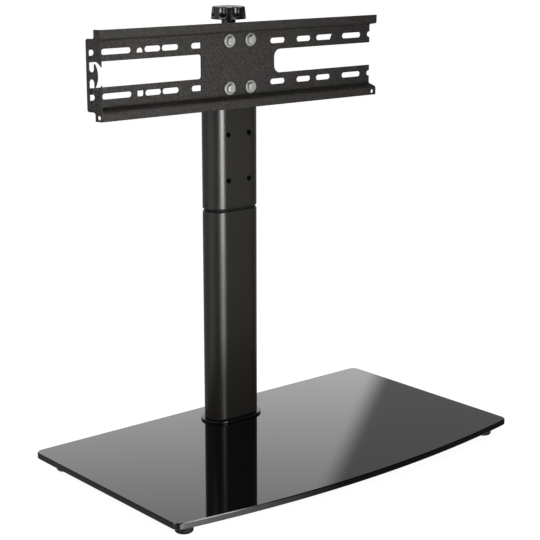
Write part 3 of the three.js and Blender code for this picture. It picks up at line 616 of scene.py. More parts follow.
def oval_tube(node):
    """A tube with rounded rims, in the place of a CAD tube."""
    low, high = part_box(node)
    bm = bmesh.new()
    draw_oval(bm, high.x - low.x, high.y - low.y, column_y, low.z, 48)
    push_face(bm, fill_outline(bm), UP * (high.z - low.z))
    round_edges(bm, lambda e: at_level(e, low.z, high.z), TUBE_RIM, 6)
    bore = bmesh.new()
    draw_oval(
        bore, high.x - low.x - 2 * TUBE_WALL, high.y - low.y - 2 * TUBE_WALL, column_y,
        low.z - MM, 48,
    )
    push_face(bore, fill_outline(bore), UP * (high.z - low.z + 2 * MM))
    return combine(bm, bore)


show_piece(
    "lower_column_visual", oval_tube("lower_column"), tube_finish, "stand",
    ["lower_column"],
)

plate_bolts = [f"plate_bolt_{i}" for i in (1, 2, 3, 4)]
bolt_rows = sorted({round(middle(node).z, 5) for node in plate_bolts})
bolt_columns = sorted({round(middle(node).x, 5) for node in plate_bolts})
row_pitch = bolt_rows[1] - bolt_rows[0]
spare_rows = [z - 2 * row_pitch for z in bolt_rows]


def front_holes(rows, diameter, front_y, back_y):
    """Cutters for round holes bored from the front, one at each bolt place."""
    tool = bmesh.new()
    for z in rows:
        for x in bolt_columns:
            bmesh.ops.create_cone(
                tool, cap_ends=True, segments=48, radius1=diameter / 2, radius2=diameter / 2,
                depth=back_y - front_y,
                matrix=Matrix.Translation((x, (front_y + back_y) / 2, z)) @ LAY_FORWARD,
            )
    return tool


tube_low, tube_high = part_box("upper_column")
bm = oval_tube("upper_column")
bm = combine(bm, front_holes(bolt_rows, HOLE_DIAMETER, tube_low.y - MM, column_y))
bm = combine(bm, front_holes(spare_rows, SPARE_HOLE, tube_low.y - MM, column_y))
show_piece("upper_column_visual", bm, tube_finish, "head", ["upper_column"])

# Slip washer and top cap
# The washer is a black nylon sheet cut to the tube's oval; the upper column turns on it. The cap
# is a moulded lid with a plug that closes the upper tube.

CAP_ROUND = 1 * MM
CAP_PLUG_INSET = 3.3 * MM
CAP_PLUG_DEPTH = 5 * MM
ROD_BORE = 10.6 * MM
WASHER_INSET = 1.6 * MM

# Natural moulded nylon, black: waxy and dull.
nylon_finish, tree = new_finish("black_nylon_sheet")
place = add_node(tree, "ShaderNodeTexCoord").outputs["Object"]
grain = add_node(tree, "ShaderNodeTexNoise", {"Scale": 800.0, "Detail": 2.0}, {"Vector": place})
tint = add_node(tree, "ShaderNodeMix", {
    "data_type": "RGBA", 6: from_hex("070707"), 7: from_hex("0D0D0D"),
}, {0: grain.outputs["Fac"]})
level = add_node(tree, "ShaderNodeMapRange", {"To Min": 0.5, "To Max": 0.7}, {
    "Value": grain.outputs["Fac"],
})
shader = add_node(tree, "ShaderNodeBsdfPrincipled", {"IOR": 1.3}, {
    "Base Color": tint.outputs[2], "Roughness": level.outputs["Result"],
})
add_node(tree, "ShaderNodeOutputMaterial", links={"Surface": shader.outputs["BSDF"]})

low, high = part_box("slip_washer")
bm = bmesh.new()
draw_oval(bm, high.x - low.x - WASHER_INSET, high.y - low.y - WASHER_INSET, column_y, low.z)
push_face(bm, fill_outline(bm), UP * (high.z - low.z))
bm = drill(bm, [(0, column_y)], 20.6 * MM, low.z - MM, high.z + MM)
show_piece("slip_washer_visual", bm, nylon_finish, "stand", ["slip_washer"])

low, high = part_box("top_cap")
lid_bottom = low.z + CAP_PLUG_DEPTH + 0.3 * MM
bm = bmesh.new()
draw_oval(bm, high.x - low.x, high.y - low.y, column_y, lid_bottom)
push_face(bm, fill_outline(bm), UP * (high.z - lid_bottom))
underside = min(bm.faces, key=lambda f: f.calc_center_median().z)
bmesh.ops.inset_region(bm, faces=[underside], thickness=CAP_PLUG_INSET)
push_face(bm, underside, UP * (low.z - lid_bottom))
round_edges(bm, lambda e: at_level(e, high.z), CAP_ROUND, 5)
bm = drill(bm, [(0, column_y)], ROD_BORE, low.z - MM, high.z + MM)
show_piece("top_cap_visual", bm, plastic_finish, "head", ["top_cap"])

# Mounting plate
# One folded rail of 2 mm steel: a deep web with slots and two side windows, two lips in front of
# it, and a closed end flange at the left. Laser cut, folded and powder coated charcoal.

SHEET = 2 * MM
BEND_RADIUS = 2.6 * MM
LIP_HALF_WIDTH = 224 * MM
LIP_HEIGHT = 10.4 * MM
LIP_WALL_RISE = 2.8 * MM
SLOT_ROW_PITCH = 53 * MM
SLOT_HEIGHT = 7.1 * MM
WINDOW_HEIGHT = 30.6 * MM
RIGHT_WINDOW = (58.5 * MM, 10 * MM)
LEFT_WINDOW = (61 * MM, 3.5 * MM)
ROUND_HOLE_TOP = 2.3 * MM
CUP_CORNER = 2 * MM
SLANT = 3.2 * MM
LOCK_HOLE = 5.3 * MM
LOCK_HOLE_END = 6.4 * MM
LOCK_HOLE_EDGE = 4.8 * MM
RIGHT_SLOTS = ((0.226, 0.335), (0.423, 0.53), (0.573, 0.684), (0.776, 0.926), (0.977, 1.05))
LEFT_SLOTS = ((0.27, 0.331), (0.416, 0.526), (0.533, 0.638), (0.724, 0.911), (0.953, 1.05))
LEFT_SQUARE_END = (0.266, 0.29)
LEFT_ROUND_HOLE = (0.648, 0.689)
SLANTED_END = (0.66, 0.684)
CUT_EDGE = 0.22 * MM

# Charcoal powder coat with a fine texture: dull, with grains of about a millimetre that are
# drawn a little coarser than the real ones so that they show.
coat_finish, tree = new_finish("charcoal_powder_coat")
place = add_node(tree, "ShaderNodeTexCoord").outputs["Object"]
grain = add_node(tree, "ShaderNodeTexNoise", {"Scale": 560.0, "Detail": 3.0}, {"Vector": place})
pits = add_node(tree, "ShaderNodeTexVoronoi", {"Scale": 1300.0}, {"Vector": place})
cloud = add_node(tree, "ShaderNodeTexNoise", {"Scale": 30.0, "Detail": 3.0}, {"Vector": place})
spread = add_node(tree, "ShaderNodeMapRange", {"From Min": 0.36, "From Max": 0.64}, {
    "Value": grain.outputs["Fac"],
})
tint = add_node(tree, "ShaderNodeMix", {
    "data_type": "RGBA", 6: from_hex("232120"), 7: from_hex("423F3C"),
}, {0: spread.outputs["Result"]})
drift = add_node(tree, "ShaderNodeMix", {
    "data_type": "RGBA", "blend_type": "MULTIPLY", 0: 0.25,
}, {6: tint.outputs[2], 7: cloud.outputs["Color"]})
level = add_node(tree, "ShaderNodeMapRange", {"To Min": 0.7, "To Max": 0.85}, {
    "Value": pits.outputs["Distance"],
})
relief = add_node(tree, "ShaderNodeBump", {"Strength": 0.3, "Distance": 0.0003}, {
    "Height": grain.outputs["Fac"],
})
shader = add_node(tree, "ShaderNodeBsdfPrincipled", {"IOR": 1.3}, {
    "Base Color": drift.outputs[2], "Roughness": level.outputs["Result"],
    "Normal": relief.outputs["Normal"],
})
add_node(tree, "ShaderNodeOutputMaterial", links={"Surface": shader.outputs["BSDF"]})

low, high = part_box("mounting_plate")
half_plate = high.x
plate_z = (low.z + high.z) / 2
half_height = (high.z - low.z) / 2
lip_front, web_back = low.y, high.y
web_front = web_back - SHEET
lip_y, web_y = lip_front + SHEET / 2, web_back - SHEET / 2
lip_root = half_height - LIP_HEIGHT
web_edge = lip_root - LIP_WALL_RISE

# The rail: its folded line is drawn at one end, drawn out along X, bent and given its thickness.
bm = bmesh.new()
vert = bm.verts.new((-half_plate, lip_y, plate_z + half_height))
for y, z in (
    (lip_y, lip_root), (web_y, web_edge), (web_y, -web_edge), (lip_y, -lip_root),
    (lip_y, -half_height),
):
    vert = run_to(bm, vert, (-half_plate, y, plate_z + z))
made = bmesh.ops.extrude_edge_only(bm, edges=bm.edges[:])["geom"]
bmesh.ops.translate(
    bm, verts=[g for g in made if isinstance(g, bmesh.types.BMVert)],
    vec=(2 * half_plate, 0, 0),
)
fold_turn = math.atan2(web_y - lip_y, LIP_WALL_RISE)
round_edges(
    bm, lambda e: len(e.link_faces) == 2, BEND_RADIUS * math.tan(fold_turn / 2), 8,
)
bm = through_modifier(bm, "SOLIDIFY", thickness=SHEET, offset=0, use_even_offset=True)
for side in (1, -1):
    across = Vector((side * (web_back - lip_front), LIP_HALF_WIDTH - half_plate, 0))
    bmesh.ops.bisect_plane(
        bm, geom=bm.verts[:] + bm.edges[:] + bm.faces[:], dist=WELD / 10,
        plane_co=(side * LIP_HALF_WIDTH, lip_front, 0), plane_no=across.normalized(),
        clear_outer=True,
    )
    open_edges = [e for e in bm.edges if len(e.link_faces) == 1]
    bmesh.ops.contextual_create(bm, geom=open_edges)
bmesh.ops.recalc_face_normals(bm, faces=bm.faces)


def cut_through(tool, drawn):
    """Turns an outline drawn on the web into a cutter that goes through the sheet."""
    push_face(drawn, fill_outline(drawn), (0, 8 * SHEET + web_back - lip_front, 0))
    mesh = bpy.data.meshes.new("outline")
    drawn.to_mesh(mesh)
    drawn.free()
    tool.from_mesh(mesh)
    bpy.data.meshes.remove(mesh)


cut_y = lip_front - 4 * SHEET
ALONG_Y = Vector((0, 1, 0))


def draw_slot(near, far, z, side):
    """A slot with round ends; near and far are shares of the plate's half width."""
    drawn = bmesh.new()
    radius = SLOT_HEIGHT / 2
    left = min(side * near, side * far) * half_plate + radius
    right = max(side * near, side * far) * half_plate - radius
    vert = drawn.verts.new((right, cut_y, z - radius))
    vert = turn_about(drawn, vert, (right, cut_y, z), -HALF_TURN, 20, ALONG_Y)
    vert = run_to(drawn, vert, (left, cut_y, z + radius))
    vert = turn_about(drawn, vert, (left, cut_y, z), -HALF_TURN, 20, ALONG_Y)
    run_to(drawn, vert, (right, cut_y, z - radius))
    return drawn


def draw_corners(points):
    """An opening with sharp corners, drawn through its (x, z) points."""
    drawn = bmesh.new()
    (x, z), *rest = points
    vert = drawn.verts.new((x, cut_y, z))
    for x, z in (*rest, points[0]):
        vert = run_to(drawn, vert, (x, cut_y, z))
    return drawn


def draw_round_hole(near, far, z):
    """The left hole of the upper row: round above, flat below."""
    drawn = bmesh.new()
    radius = (far - near) * half_plate / 2
    x, hub = -(near + far) * half_plate / 2, z + ROUND_HOLE_TOP - radius
    vert = drawn.verts.new((x + radius, cut_y, hub))
    vert = turn_about(drawn, vert, (x, cut_y, hub), -HALF_TURN, 18, ALONG_Y)
    vert = run_to(drawn, vert, (x - radius, cut_y, z - SLOT_HEIGHT / 2))
    vert = run_to(drawn, vert, (x + radius, cut_y, z - SLOT_HEIGHT / 2))
    run_to(drawn, vert, (x + radius, cut_y, hub))
    return drawn


def draw_cup_hole(near, far, z):
    """The left hole of the lower row: flat above, with round corners below."""
    drawn = bmesh.new()
    half, x, r = (far - near) * half_plate / 2, -(near + far) * half_plate / 2, CUP_CORNER
    top, low_hub = z + SLOT_HEIGHT / 2, z - SLOT_HEIGHT / 2 + r
    vert = drawn.verts.new((x - half, cut_y, top))
    vert = run_to(drawn, vert, (x - half, cut_y, low_hub))
    vert = turn_about(drawn, vert, (x - half + r, cut_y, low_hub), -QUARTER_TURN, 8, ALONG_Y)
    vert = run_to(drawn, vert, (x + half - r, cut_y, low_hub - r))
    vert = turn_about(drawn, vert, (x + half - r, cut_y, low_hub), -QUARTER_TURN, 8, ALONG_Y)
    vert = run_to(drawn, vert, (x + half, cut_y, top))
    run_to(drawn, vert, (x - half, cut_y, top))
    return drawn


def draw_window(side, inner_edge, r):
    """A window with two round inner corners, open at the plate's end."""
    drawn = bmesh.new()
    reach = WINDOW_HEIGHT / 2
    inner, outer = side * inner_edge, side * (half_plate + 5 * SHEET)
    hub = inner + side * r
    vert = drawn.verts.new((outer, cut_y, plate_z + reach))
    vert = run_to(drawn, vert, (hub, cut_y, plate_z + reach))
    vert = turn_about(
        drawn, vert, (hub, cut_y, plate_z + reach - r), -side * QUARTER_TURN, 14, ALONG_Y,
    )
    vert = run_to(drawn, vert, (inner, cut_y, plate_z - reach + r))
    vert = turn_about(
        drawn, vert, (hub, cut_y, plate_z - reach + r), -side * QUARTER_TURN, 14, ALONG_Y,
    )
    vert = run_to(drawn, vert, (outer, cut_y, plate_z - reach))
    run_to(drawn, vert, (outer, cut_y, plate_z + reach))
    return drawn


upper_row = plate_z + SLOT_ROW_PITCH / 2
lower_row = plate_z - SLOT_ROW_PITCH / 2
slot_half = SLOT_HEIGHT / 2
tool = bmesh.new()
for z in (upper_row, lower_row):
    for side, slots in ((1, RIGHT_SLOTS), (-1, LEFT_SLOTS)):
        for near, far in slots:
            cut_through(tool, draw_slot(near, far, z, side))
cut_through(tool, draw_round_hole(*LEFT_ROUND_HOLE, upper_row))
cut_through(tool, draw_cup_hole(*LEFT_ROUND_HOLE, lower_row))
cut_through(tool, draw_window(1, *RIGHT_WINDOW))
cut_through(tool, draw_window(-1, *LEFT_WINDOW))
bmesh.ops.recalc_face_normals(tool, faces=tool.faces)
bm = combine(bm, tool)
tool = bmesh.new()
near, far = (-share * half_plate for share in LEFT_SQUARE_END)
for z in (upper_row, lower_row):
    cut_through(tool, draw_corners([
        (near, z - slot_half), (near, z + slot_half), (far, z + slot_half), (far, z - slot_half),
    ]))
near, far = (share * half_plate for share in SLANTED_END)
cut_through(tool, draw_corners([
    (near, upper_row - slot_half), (far, upper_row - slot_half),
    (far + SLANT, upper_row + slot_half), (near, upper_row + slot_half),
]))
bmesh.ops.recalc_face_normals(tool, faces=tool.faces)
bm = combine(bm, tool)
bm = combine(bm, front_holes(bolt_rows, HOLE_DIAMETER, cut_y, web_back + SHEET))
lock_hole_z = plate_z - half_height + LOCK_HOLE_EDGE
tool = bmesh.new()
bmesh.ops.create_cone(
    tool, cap_ends=True, segments=40, radius1=LOCK_HOLE / 2, radius2=LOCK_HOLE / 2,
    depth=6 * SHEET, matrix=Matrix.Translation(
        (LIP_HALF_WIDTH - LOCK_HOLE_END, lip_y, lock_hole_z)) @ LAY_FORWARD,
)
bm = combine(bm, tool)

# The end flange: drawn flat from its front edge back, cut out, then stood up at the left end.
STRIP_DEPTH = 10.2 * MM
FLANGE_REAR_HALF = 43.2 * MM
FLANGE_CORNER = 3 * MM
FLANGE_SLOT = (10.7 * MM, 19 * MM)
FLANGE_SLOT_REACH = 32 * MM
TONGUE_HALF = 4.1 * MM
TONGUE_CAP_FRONT = 5.8 * MM
TONGUE_CAP_HALF = 14 * MM
TONGUE_CAP_RADIUS = 25.4 * MM
BITE_RADIUS = 18.5 * MM
BITE_DEPTH = 15.2 * MM

run = Vector((LIP_HALF_WIDTH - half_plate, web_back - lip_front, 0))
flange_depth = run.length
inward = run.normalized().cross(UP)
flange_place = Matrix.Translation((-LIP_HALF_WIDTH, lip_front, plate_z)) @ Matrix((
    (run.normalized().x, 0, inward.x, 0),
    (run.normalized().y, 0, inward.y, 0),
    (0, 1, 0, 0),
    (0, 0, 0, 1),
))


def flat_shape(start, moves, low_w=0.0, high_w=SHEET):
    """A plate drawn flat: each move is a point, or a centre with an angle."""
    bm = bmesh.new()
    vert = bm.verts.new((*start, low_w))
    for move in moves:
        if len(move) == 2:
            vert = run_to(bm, vert, (*move, low_w))
        else:
            u, v, angle = move
            vert = turn_about(bm, vert, (u, v, 0), angle, 14)
    push_face(bm, fill_outline(bm), UP * (high_w - low_w))
    return bm


r, half, rear = FLANGE_CORNER, half_height, FLANGE_REAR_HALF
flange = flat_shape((0, half), [
    (0, -half), (STRIP_DEPTH, -half), (STRIP_DEPTH, -rear - r),
    (STRIP_DEPTH + r, -rear - r, -QUARTER_TURN), (flange_depth - r, -rear),
    (flange_depth - r, -rear + r, QUARTER_TURN), (flange_depth, rear - r),
    (flange_depth - r, rear - r, QUARTER_TURN), (STRIP_DEPTH + r, rear),
    (STRIP_DEPTH + r, rear + r, -QUARTER_TURN), (STRIP_DEPTH, half), (0, half),
])
below, above = -SHEET, 2 * SHEET
bite = bmesh.new()
bmesh.ops.create_cone(
    bite, cap_ends=True, segments=96, radius1=BITE_RADIUS, radius2=BITE_RADIUS,
    depth=above - below, matrix=Matrix.Translation((BITE_DEPTH, 0, (above + below) / 2)),
)
flange = combine(flange, bite)
slot_radius = (FLANGE_SLOT[1] - FLANGE_SLOT[0]) / 2
slot_u = sum(FLANGE_SLOT) / 2
cap_hub = TONGUE_CAP_FRONT + TONGUE_CAP_RADIUS
cap_angle = math.asin(TONGUE_CAP_HALF / TONGUE_CAP_RADIUS)
cap_edge = cap_hub - TONGUE_CAP_RADIUS * math.cos(cap_angle)
root, root_half = FLANGE_SLOT[0], TONGUE_HALF + slot_radius
flange = combine(flange, flat_shape((flange_depth, -BITE_RADIUS), [
    (flange_depth, BITE_RADIUS), (FLANGE_SLOT[1], BITE_RADIUS), (FLANGE_SLOT[1], root_half),
    (root, root_half), (root, TONGUE_CAP_HALF), (cap_edge, TONGUE_CAP_HALF),
    (cap_hub, 0, 2 * cap_angle), (root, -TONGUE_CAP_HALF), (root, -root_half),
    (FLANGE_SLOT[1], -root_half), (FLANGE_SLOT[1], -BITE_RADIUS), (flange_depth, -BITE_RADIUS),
]), "UNION")
for upright in (1, -1):
    near = upright * (TONGUE_HALF + slot_radius)
    far = upright * (FLANGE_SLOT_REACH - slot_radius)
    top, foot = max(near, far), min(near, far)
    flange = combine(flange, flat_shape((slot_u + slot_radius, foot), [
        (slot_u + slot_radius, top), (slot_u, top, HALF_TURN),
        (slot_u - slot_radius, foot), (slot_u, foot, HALF_TURN),
    ], below, above))
hole = bmesh.new()
bmesh.ops.create_cone(
    hole, cap_ends=True, segments=40, radius1=LOCK_HOLE / 2, radius2=LOCK_HOLE / 2,
    depth=above - below,
    matrix=Matrix.Translation((LOCK_HOLE_EDGE, LOCK_HOLE_EDGE - half, (above + below) / 2)),
)
flange = combine(flange, hole)
bmesh.ops.transform(flange, matrix=flange_place, verts=flange.verts)
bmesh.ops.recalc_face_normals(flange, faces=flange.faces)
bm = combine(bm, flange, "UNION")
bmesh.ops.remove_doubles(bm, verts=bm.verts, dist=8 * WELD)
bmesh.ops.dissolve_limit(
    bm, angle_limit=math.radians(0.5), verts=bm.verts, edges=bm.edges,
)
bm = through_modifier(
    bm, "BEVEL", width=CUT_EDGE, segments=2, limit_method="ANGLE",
    angle_limit=math.radians(50), use_clamp_overlap=False,
)
show_piece(
    "mounting_plate_visual", bm, coat_finish, "head", ["mounting_plate"], 40,
)

# Plate bolts
# The same bolts as below, on wider washers, screwed through the plate into the backing bar.

for i in (1, 2, 3, 4):
    low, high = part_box(f"plate_bolt_{i}")
    spot = middle(f"plate_bolt_{i}")
    seat = low.y + BOLT_HEAD_HEIGHT
    bm = bolt_on_end(high.y - seat)
    bmesh.ops.transform(
        bm, matrix=Matrix.Translation((spot.x, seat, spot.z)) @ LAY_FORWARD, verts=bm.verts,
    )
    show_piece(f"plate_bolt_{i}_visual", bm, zinc_finish, "head", [f"plate_bolt_{i}"])
    low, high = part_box(f"plate_washer_{i}")
    bm = flat_washer(high.x - low.x, high.y - low.y)
    bmesh.ops.transform(
        bm, matrix=Matrix.Translation((spot.x, low.y, spot.z)) @ LAY_FORWARD, verts=bm.verts,
    )
    show_piece(
        f"plate_washer_{i}_visual", bm, zinc_finish, "head", [f"plate_washer_{i}"],
    )

# Lock rod, nut and neck
# A zinc plated threaded rod runs from the knob down through both columns into a nut; turning the
# knob draws the two tubes together. The neck is a turned steel bush, black oxidised.

NECK_CHAMFER = 0.8 * MM

for node in ("lock_rod", "lock_nut"):
    dress(node, zinc_finish)

# Black oxide on turned steel: dark, a little oily, with fine turning rings.
oxide_finish, tree = new_finish("black_oxide_steel")
place = add_node(tree, "ShaderNodeTexCoord").outputs["Object"]
stretched = add_node(tree, "ShaderNodeMapping", {"Scale": (80.0, 80.0, 2500.0)}, {
    "Vector": place,
})
rings = add_node(tree, "ShaderNodeTexNoise", {"Scale": 1.0, "Detail": 2.0}, {
    "Vector": stretched.outputs["Vector"],
})
tint = add_node(tree, "ShaderNodeMix", {
    "data_type": "RGBA", 6: from_hex("131313"), 7: from_hex("1E1E1F"),
}, {0: rings.outputs["Fac"]})
level = add_node(tree, "ShaderNodeMapRange", {"To Min": 0.28, "To Max": 0.45}, {
    "Value": rings.outputs["Fac"],
})
relief = add_node(tree, "ShaderNodeBump", {"Strength": 0.1, "Distance": 0.0002}, {
    "Height": rings.outputs["Fac"],
})
shader = add_node(tree, "ShaderNodeBsdfPrincipled", {"IOR": 1.5}, {
    "Base Color": tint.outputs[2], "Roughness": level.outputs["Result"],
    "Normal": relief.outputs["Normal"],
})
add_node(tree, "ShaderNodeOutputMaterial", links={"Surface": shader.outputs["BSDF"]})

low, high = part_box("knob_bush")
outer, inner = (high.x - low.x) / 2, ROD_BORE / 2
bm = turn_profile([(inner, low.z), (outer, low.z), (outer, high.z), (inner, high.z)], (0, column_y), 96)
round_edges(
    bm, lambda e: at_level(e, low.z) and (e.verts[0].co.xy - Vector((0, column_y))).length > inner + MM,
    NECK_CHAMFER, 3,
)
show_piece("knob_bush_visual", bm, oxide_finish, "riser", ["knob_bush"])

# Locking knob
# A moulded phenolic hand knob with eight grips between flutes, a rim below them and a slightly
# domed top, polished in the mould and moulded over the end of the rod.

KNOB_TOP_DIAMETER = 42 * MM
KNOB_BOTTOM_DIAMETER = 45.4 * MM
KNOB_RIM = 3.1 * MM
KNOB_DOME = 1.6 * MM
KNOB_TOP_ROUND = 1.1 * MM
KNOB_BOTTOM_ROUND = 0.6 * MM
KNOB_FLUTES = 8
FLUTE_DIAMETER = 12 * MM
FLUTE_DEPTH = 2.4 * MM
KNOB_PHASE = math.radians(32.5)
KNOB_BORE_DEPTH = 8.3 * MM
KNOB_GRAIN = 0.4 * MM
KNOB_SMOOTHING = 12

# Glossy black phenolic: deep, with a faint flow mottle.
phenolic_finish, tree = new_finish("polished_black_phenolic")
place = add_node(tree, "ShaderNodeTexCoord").outputs["Object"]
flow = add_node(tree, "ShaderNodeTexNoise", {"Scale": 160.0, "Detail": 3.0}, {"Vector": place})
tint = add_node(tree, "ShaderNodeMix", {
    "data_type": "RGBA", 6: from_hex("040404"), 7: from_hex("0A0A0A"),
}, {0: flow.outputs["Fac"]})
level = add_node(tree, "ShaderNodeMapRange", {"To Min": 0.22, "To Max": 0.29}, {
    "Value": flow.outputs["Fac"],
})
relief = add_node(tree, "ShaderNodeBump", {"Strength": 0.04, "Distance": 0.0005}, {
    "Height": flow.outputs["Fac"],
})
shader = add_node(tree, "ShaderNodeBsdfPrincipled", {"IOR": 1.5}, {
    "Base Color": tint.outputs[2], "Roughness": level.outputs["Result"],
    "Normal": relief.outputs["Normal"],
})
add_node(tree, "ShaderNodeOutputMaterial", links={"Surface": shader.outputs["BSDF"]})

# The knob's crown: the same phenolic with the fine grain of the mould left on it, and coloured
# light grey as a painted reflection of the bright air above, so it looks greyer than the sides.
crown_painted_reflection_finish, tree = new_finish("phenolic_with_painted_crown_reflection")
place = add_node(tree, "ShaderNodeTexCoord").outputs["Object"]
grain = add_node(tree, "ShaderNodeTexNoise", {"Scale": 1500.0, "Detail": 2.0}, {"Vector": place})
tint = add_node(tree, "ShaderNodeMix", {
    "data_type": "RGBA", 6: from_hex("60625B"), 7: from_hex("70726A"),
}, {0: grain.outputs["Fac"]})
level = add_node(tree, "ShaderNodeMapRange", {"To Min": 0.28, "To Max": 0.36}, {
    "Value": grain.outputs["Fac"],
})
relief = add_node(tree, "ShaderNodeBump", {"Strength": 0.15, "Distance": 0.0002}, {
    "Height": grain.outputs["Fac"],
})
shader = add_node(tree, "ShaderNodeBsdfPrincipled", {"IOR": 1.5}, {
    "Base Color": tint.outputs[2], "Roughness": level.outputs["Result"],
    "Normal": relief.outputs["Normal"],
})
add_node(tree, "ShaderNodeOutputMaterial", links={"Surface": shader.outputs["BSDF"]})

low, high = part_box("lock_knob")
knob_bottom, knob_top = low.z, high.z - KNOB_DOME
wide, narrow = KNOB_BOTTOM_DIAMETER / 2, KNOB_TOP_DIAMETER / 2
axis = (0, column_y)
bm = turn_profile([
    (0, knob_bottom), (wide, knob_bottom), (narrow, knob_top),
    (narrow * 0.75, knob_top + KNOB_DOME * 0.44), (narrow * 0.5, knob_top + KNOB_DOME * 0.75),
    (narrow * 0.25, knob_top + KNOB_DOME * 0.94), (0, high.z),
], axis, 144)


def ring_edge(edge, radius, z):
    """True for an edge of the ring with this radius and height."""
    return at_level(edge, z) and all(
        abs((v.co.xy - Vector(axis)).length - radius) < WELD for v in edge.verts
    )


round_edges(bm, lambda e: ring_edge(e, narrow, knob_top), KNOB_TOP_ROUND, 5)
round_edges(bm, lambda e: ring_edge(e, wide, knob_bottom), KNOB_BOTTOM_ROUND, 4)
flute_radius = FLUTE_DIAMETER / 2
flute_floor = knob_bottom + KNOB_RIM
flute_centre = narrow - FLUTE_DEPTH + flute_radius
for i in range(KNOB_FLUTES):
    angle = KNOB_PHASE + FULL_TURN * i / KNOB_FLUTES
    spot = (flute_centre * math.cos(angle), column_y + flute_centre * math.sin(angle))
    flute = turn_profile([
        (0, flute_floor), (flute_radius, flute_floor), (flute_radius, high.z + 2 * MM),
        (0, high.z + 2 * MM),
    ], spot, 48)
    round_edges(
        flute, lambda e: at_level(e, flute_floor) and all(
            abs((v.co.xy - Vector(spot)).length - flute_radius) < WELD for v in e.verts),
        flute_radius * 0.95, 8,
    )
    bm = combine(bm, flute)
bm = drill(bm, [axis], ROD_BORE, knob_bottom - MM, knob_bottom + KNOB_BORE_DEPTH)
bm = through_modifier(bm, "REMESH", mode="VOXEL", voxel_size=KNOB_GRAIN)
bm = through_modifier(bm, "SMOOTH", factor=0.5, iterations=KNOB_SMOOTHING)
# Upward faces of the crown take the light grey finish: a painted reflection on the knob's top.
for face in bm.faces:
    on_crown = face.normal.z > 0.4 and face.calc_center_median().z > knob_top - KNOB_TOP_ROUND
    face.material_index = 1 if on_crown else 0
knob = show_piece("lock_knob_visual", bm, phenolic_finish, "knob", ["lock_knob"])
knob.data.materials.append(crown_painted_reflection_finish)

# Studio
# A plain pale floor, soft studio light and the camera at the photograph's viewing angle. The
# floor glows a little, as paper lit from all round does, so that it stays pale to the horizon.

camera_data = bpy.data.cameras.new("photo_camera")
camera_data.lens = 96.76
camera_data.sensor_width = 36.0
camera_data.clip_start = 0.05
camera_data.clip_end = 200.0
camera = bpy.data.objects.new("photo_camera", camera_data)
camera.location = (-1.1707, -1.36235, 0.6777)
camera.rotation_euler = (math.radians(90 - 13.508), 0, math.radians(-40.064))
bpy.context.scene.collection.objects.link(camera)
bpy.context.scene.camera = camera

bm = bmesh.new()
bmesh.ops.create_grid(bm, x_segments=2, y_segments=2, size=40.0)
mesh = bpy.data.meshes.new("studio_floor")
bm.to_mesh(mesh)
bm.free()
floor = bpy.data.objects.new("studio_floor", mesh)
bpy.context.scene.collection.objects.link(floor)
floor.visible_glossy = False
floor.visible_diffuse = False
floor_finish, tree = new_finish("white_paper_floor")
shader = add_node(tree, "ShaderNodeBsdfPrincipled", {
    "Base Color": from_hex("A8A8A8"), "Roughness": 0.9, "IOR": 1.2,
    "Emission Color": (1, 1, 1, 1), "Emission Strength": 0.95,
})
add_node(tree, "ShaderNodeOutputMaterial", links={"Surface": shader.outputs["BSDF"]})
floor.data.materials.append(floor_finish)


def soft_box(name, place, aim, size, power, spread):
    """A rectangular soft box with a grid at a place, turned towards a point."""
    data = bpy.data.lights.new(name, "AREA")
    data.shape = "RECTANGLE"
    data.size, data.size_y = size
    data.energy = power
    data.spread = math.radians(spread)
    made = bpy.data.objects.new(name, data)
    made.location = place
    turned = (Vector(aim) - Vector(place)).to_track_quat("-Z", "Y")
    made.rotation_euler = turned.to_euler()
    bpy.context.scene.collection.objects.link(made)
    made.visible_camera = False


soft_box("front_box", (-0.12, -1.17, 0.33), (-0.33, 0.09, 0.49), (0.56, 0.56), 2.95, 64)
soft_box("left_box", (-0.7, -0.03, 0.6), (0, 0.11, 0.57), (0.5, 0.16), 1.5, 180)
soft_box("back_box", (0.9, 1.1, 1.95), (0, 0.1, 0.35), (0.7, 0.7), 5.0, 180)
soft_box("top_box", (0.36, -0.86, 1.3), (-0.2, -0.14, 0.02), (0.34, 0.16), 2.0, 180)

# The air round the stand: a bright panel low behind it, a soft glow at the left and dim
# elsewhere. The camera itself sees plain pale paper.
air = bpy.data.worlds.new("studio_air")
air.use_nodes = True
tree = air.node_tree
tree.nodes.clear()
way = add_node(tree, "ShaderNodeTexCoord").outputs["Generated"]
parts = add_node(tree, "ShaderNodeSeparateXYZ", {}, {"Vector": way})


def facing(direction):
    """How nearly the air's direction agrees with this one."""
    return add_node(tree, "ShaderNodeVectorMath", {
        "operation": "DOT_PRODUCT", 1: Vector(direction),
    }, {0: way}).outputs["Value"]


def ease(value, low, high, start, end):
    """Goes softly from start to end as the value goes from low to high."""
    return add_node(tree, "ShaderNodeMapRange", {
        "interpolation_type": "SMOOTHSTEP", "From Min": low, "From Max": high,
        "To Min": start, "To Max": end,
    }, {"Value": value}).outputs["Result"]


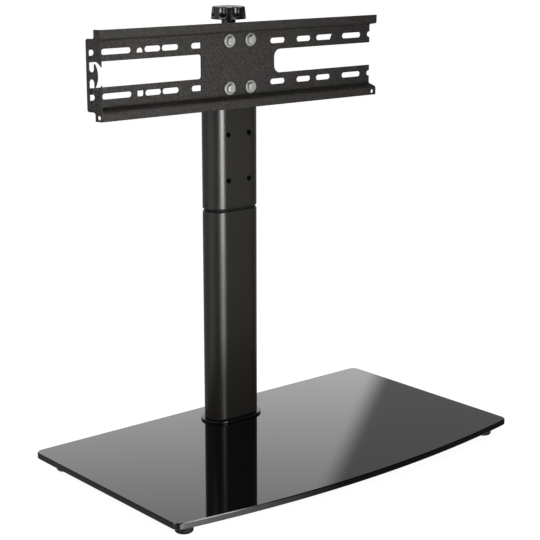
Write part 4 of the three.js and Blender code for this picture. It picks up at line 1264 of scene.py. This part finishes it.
def joined(operation, *values):
    """Adds up or multiplies values."""
    total = values[0]
    for value in values[1:]:
        total = add_node(tree, "ShaderNodeMath", {"operation": operation}, {
            0: total, 1: value,
        }).outputs[0]
    return total


rear_panel = joined(
    "MULTIPLY",
    ease(facing((0.7157, -0.6984, 0.449)), 0.13, 0.15, 1, 0),
    ease(parts.outputs["Z"], 0.2, 0.29, 0, 1),
    ease(parts.outputs["Z"], 0.22, 0.52, 1.75, 0.1),
    ease(parts.outputs["X"], -0.15, 0.15, 0, 1),
)
left_glow = ease(facing(Vector((-1, -0.1, -0.36)).normalized()), 0.82, 0.98, 0, 0.6)
front_glow = ease(facing(Vector((-0.02, -0.95, -0.28)).normalized()), 0.927, 0.99, 0, 3)
front_floor = joined(
    "MULTIPLY",
    ease(facing((-0.02, -1, 0)), 0.7, 0.92, 0, 1),
    ease(parts.outputs["Z"], -0.38, -0.3, 3, 0),
)
general = joined(
    "MULTIPLY",
    ease(parts.outputs["Z"], -0.1, 0.1, 0.34, 0.42),
    ease(parts.outputs["Y"], -0.3, 0.3, 0.25, 1), ease(parts.outputs["Z"], 0.4, 0.7, 1, 0.12),
)
rear_low = joined(
    "MULTIPLY",
    ease(parts.outputs["Z"], -0.03, 0.03, 0, 0.45), ease(parts.outputs["Z"], 0.12, 0.2, 1, 0),
    ease(parts.outputs["Y"], 0, 0.5, 0, 1),
)
level = joined("ADD", general, rear_low, left_glow, front_glow, front_floor, rear_panel)
sky = add_node(tree, "ShaderNodeBackground", {"Color": (1, 1, 1, 1)}, {"Strength": level})
paper = add_node(tree, "ShaderNodeBackground", {"Color": (1, 1, 1, 1), "Strength": 0.97})
seen = add_node(tree, "ShaderNodeLightPath").outputs["Is Camera Ray"]
both = add_node(tree, "ShaderNodeMixShader", {}, {
    0: seen, 1: sky.outputs["Background"], 2: paper.outputs["Background"],
})
add_node(tree, "ShaderNodeOutputWorld", {}, {"Surface": both.outputs["Shader"]})
bpy.context.scene.world = air
bpy.context.scene.view_settings.view_transform = "Standard"
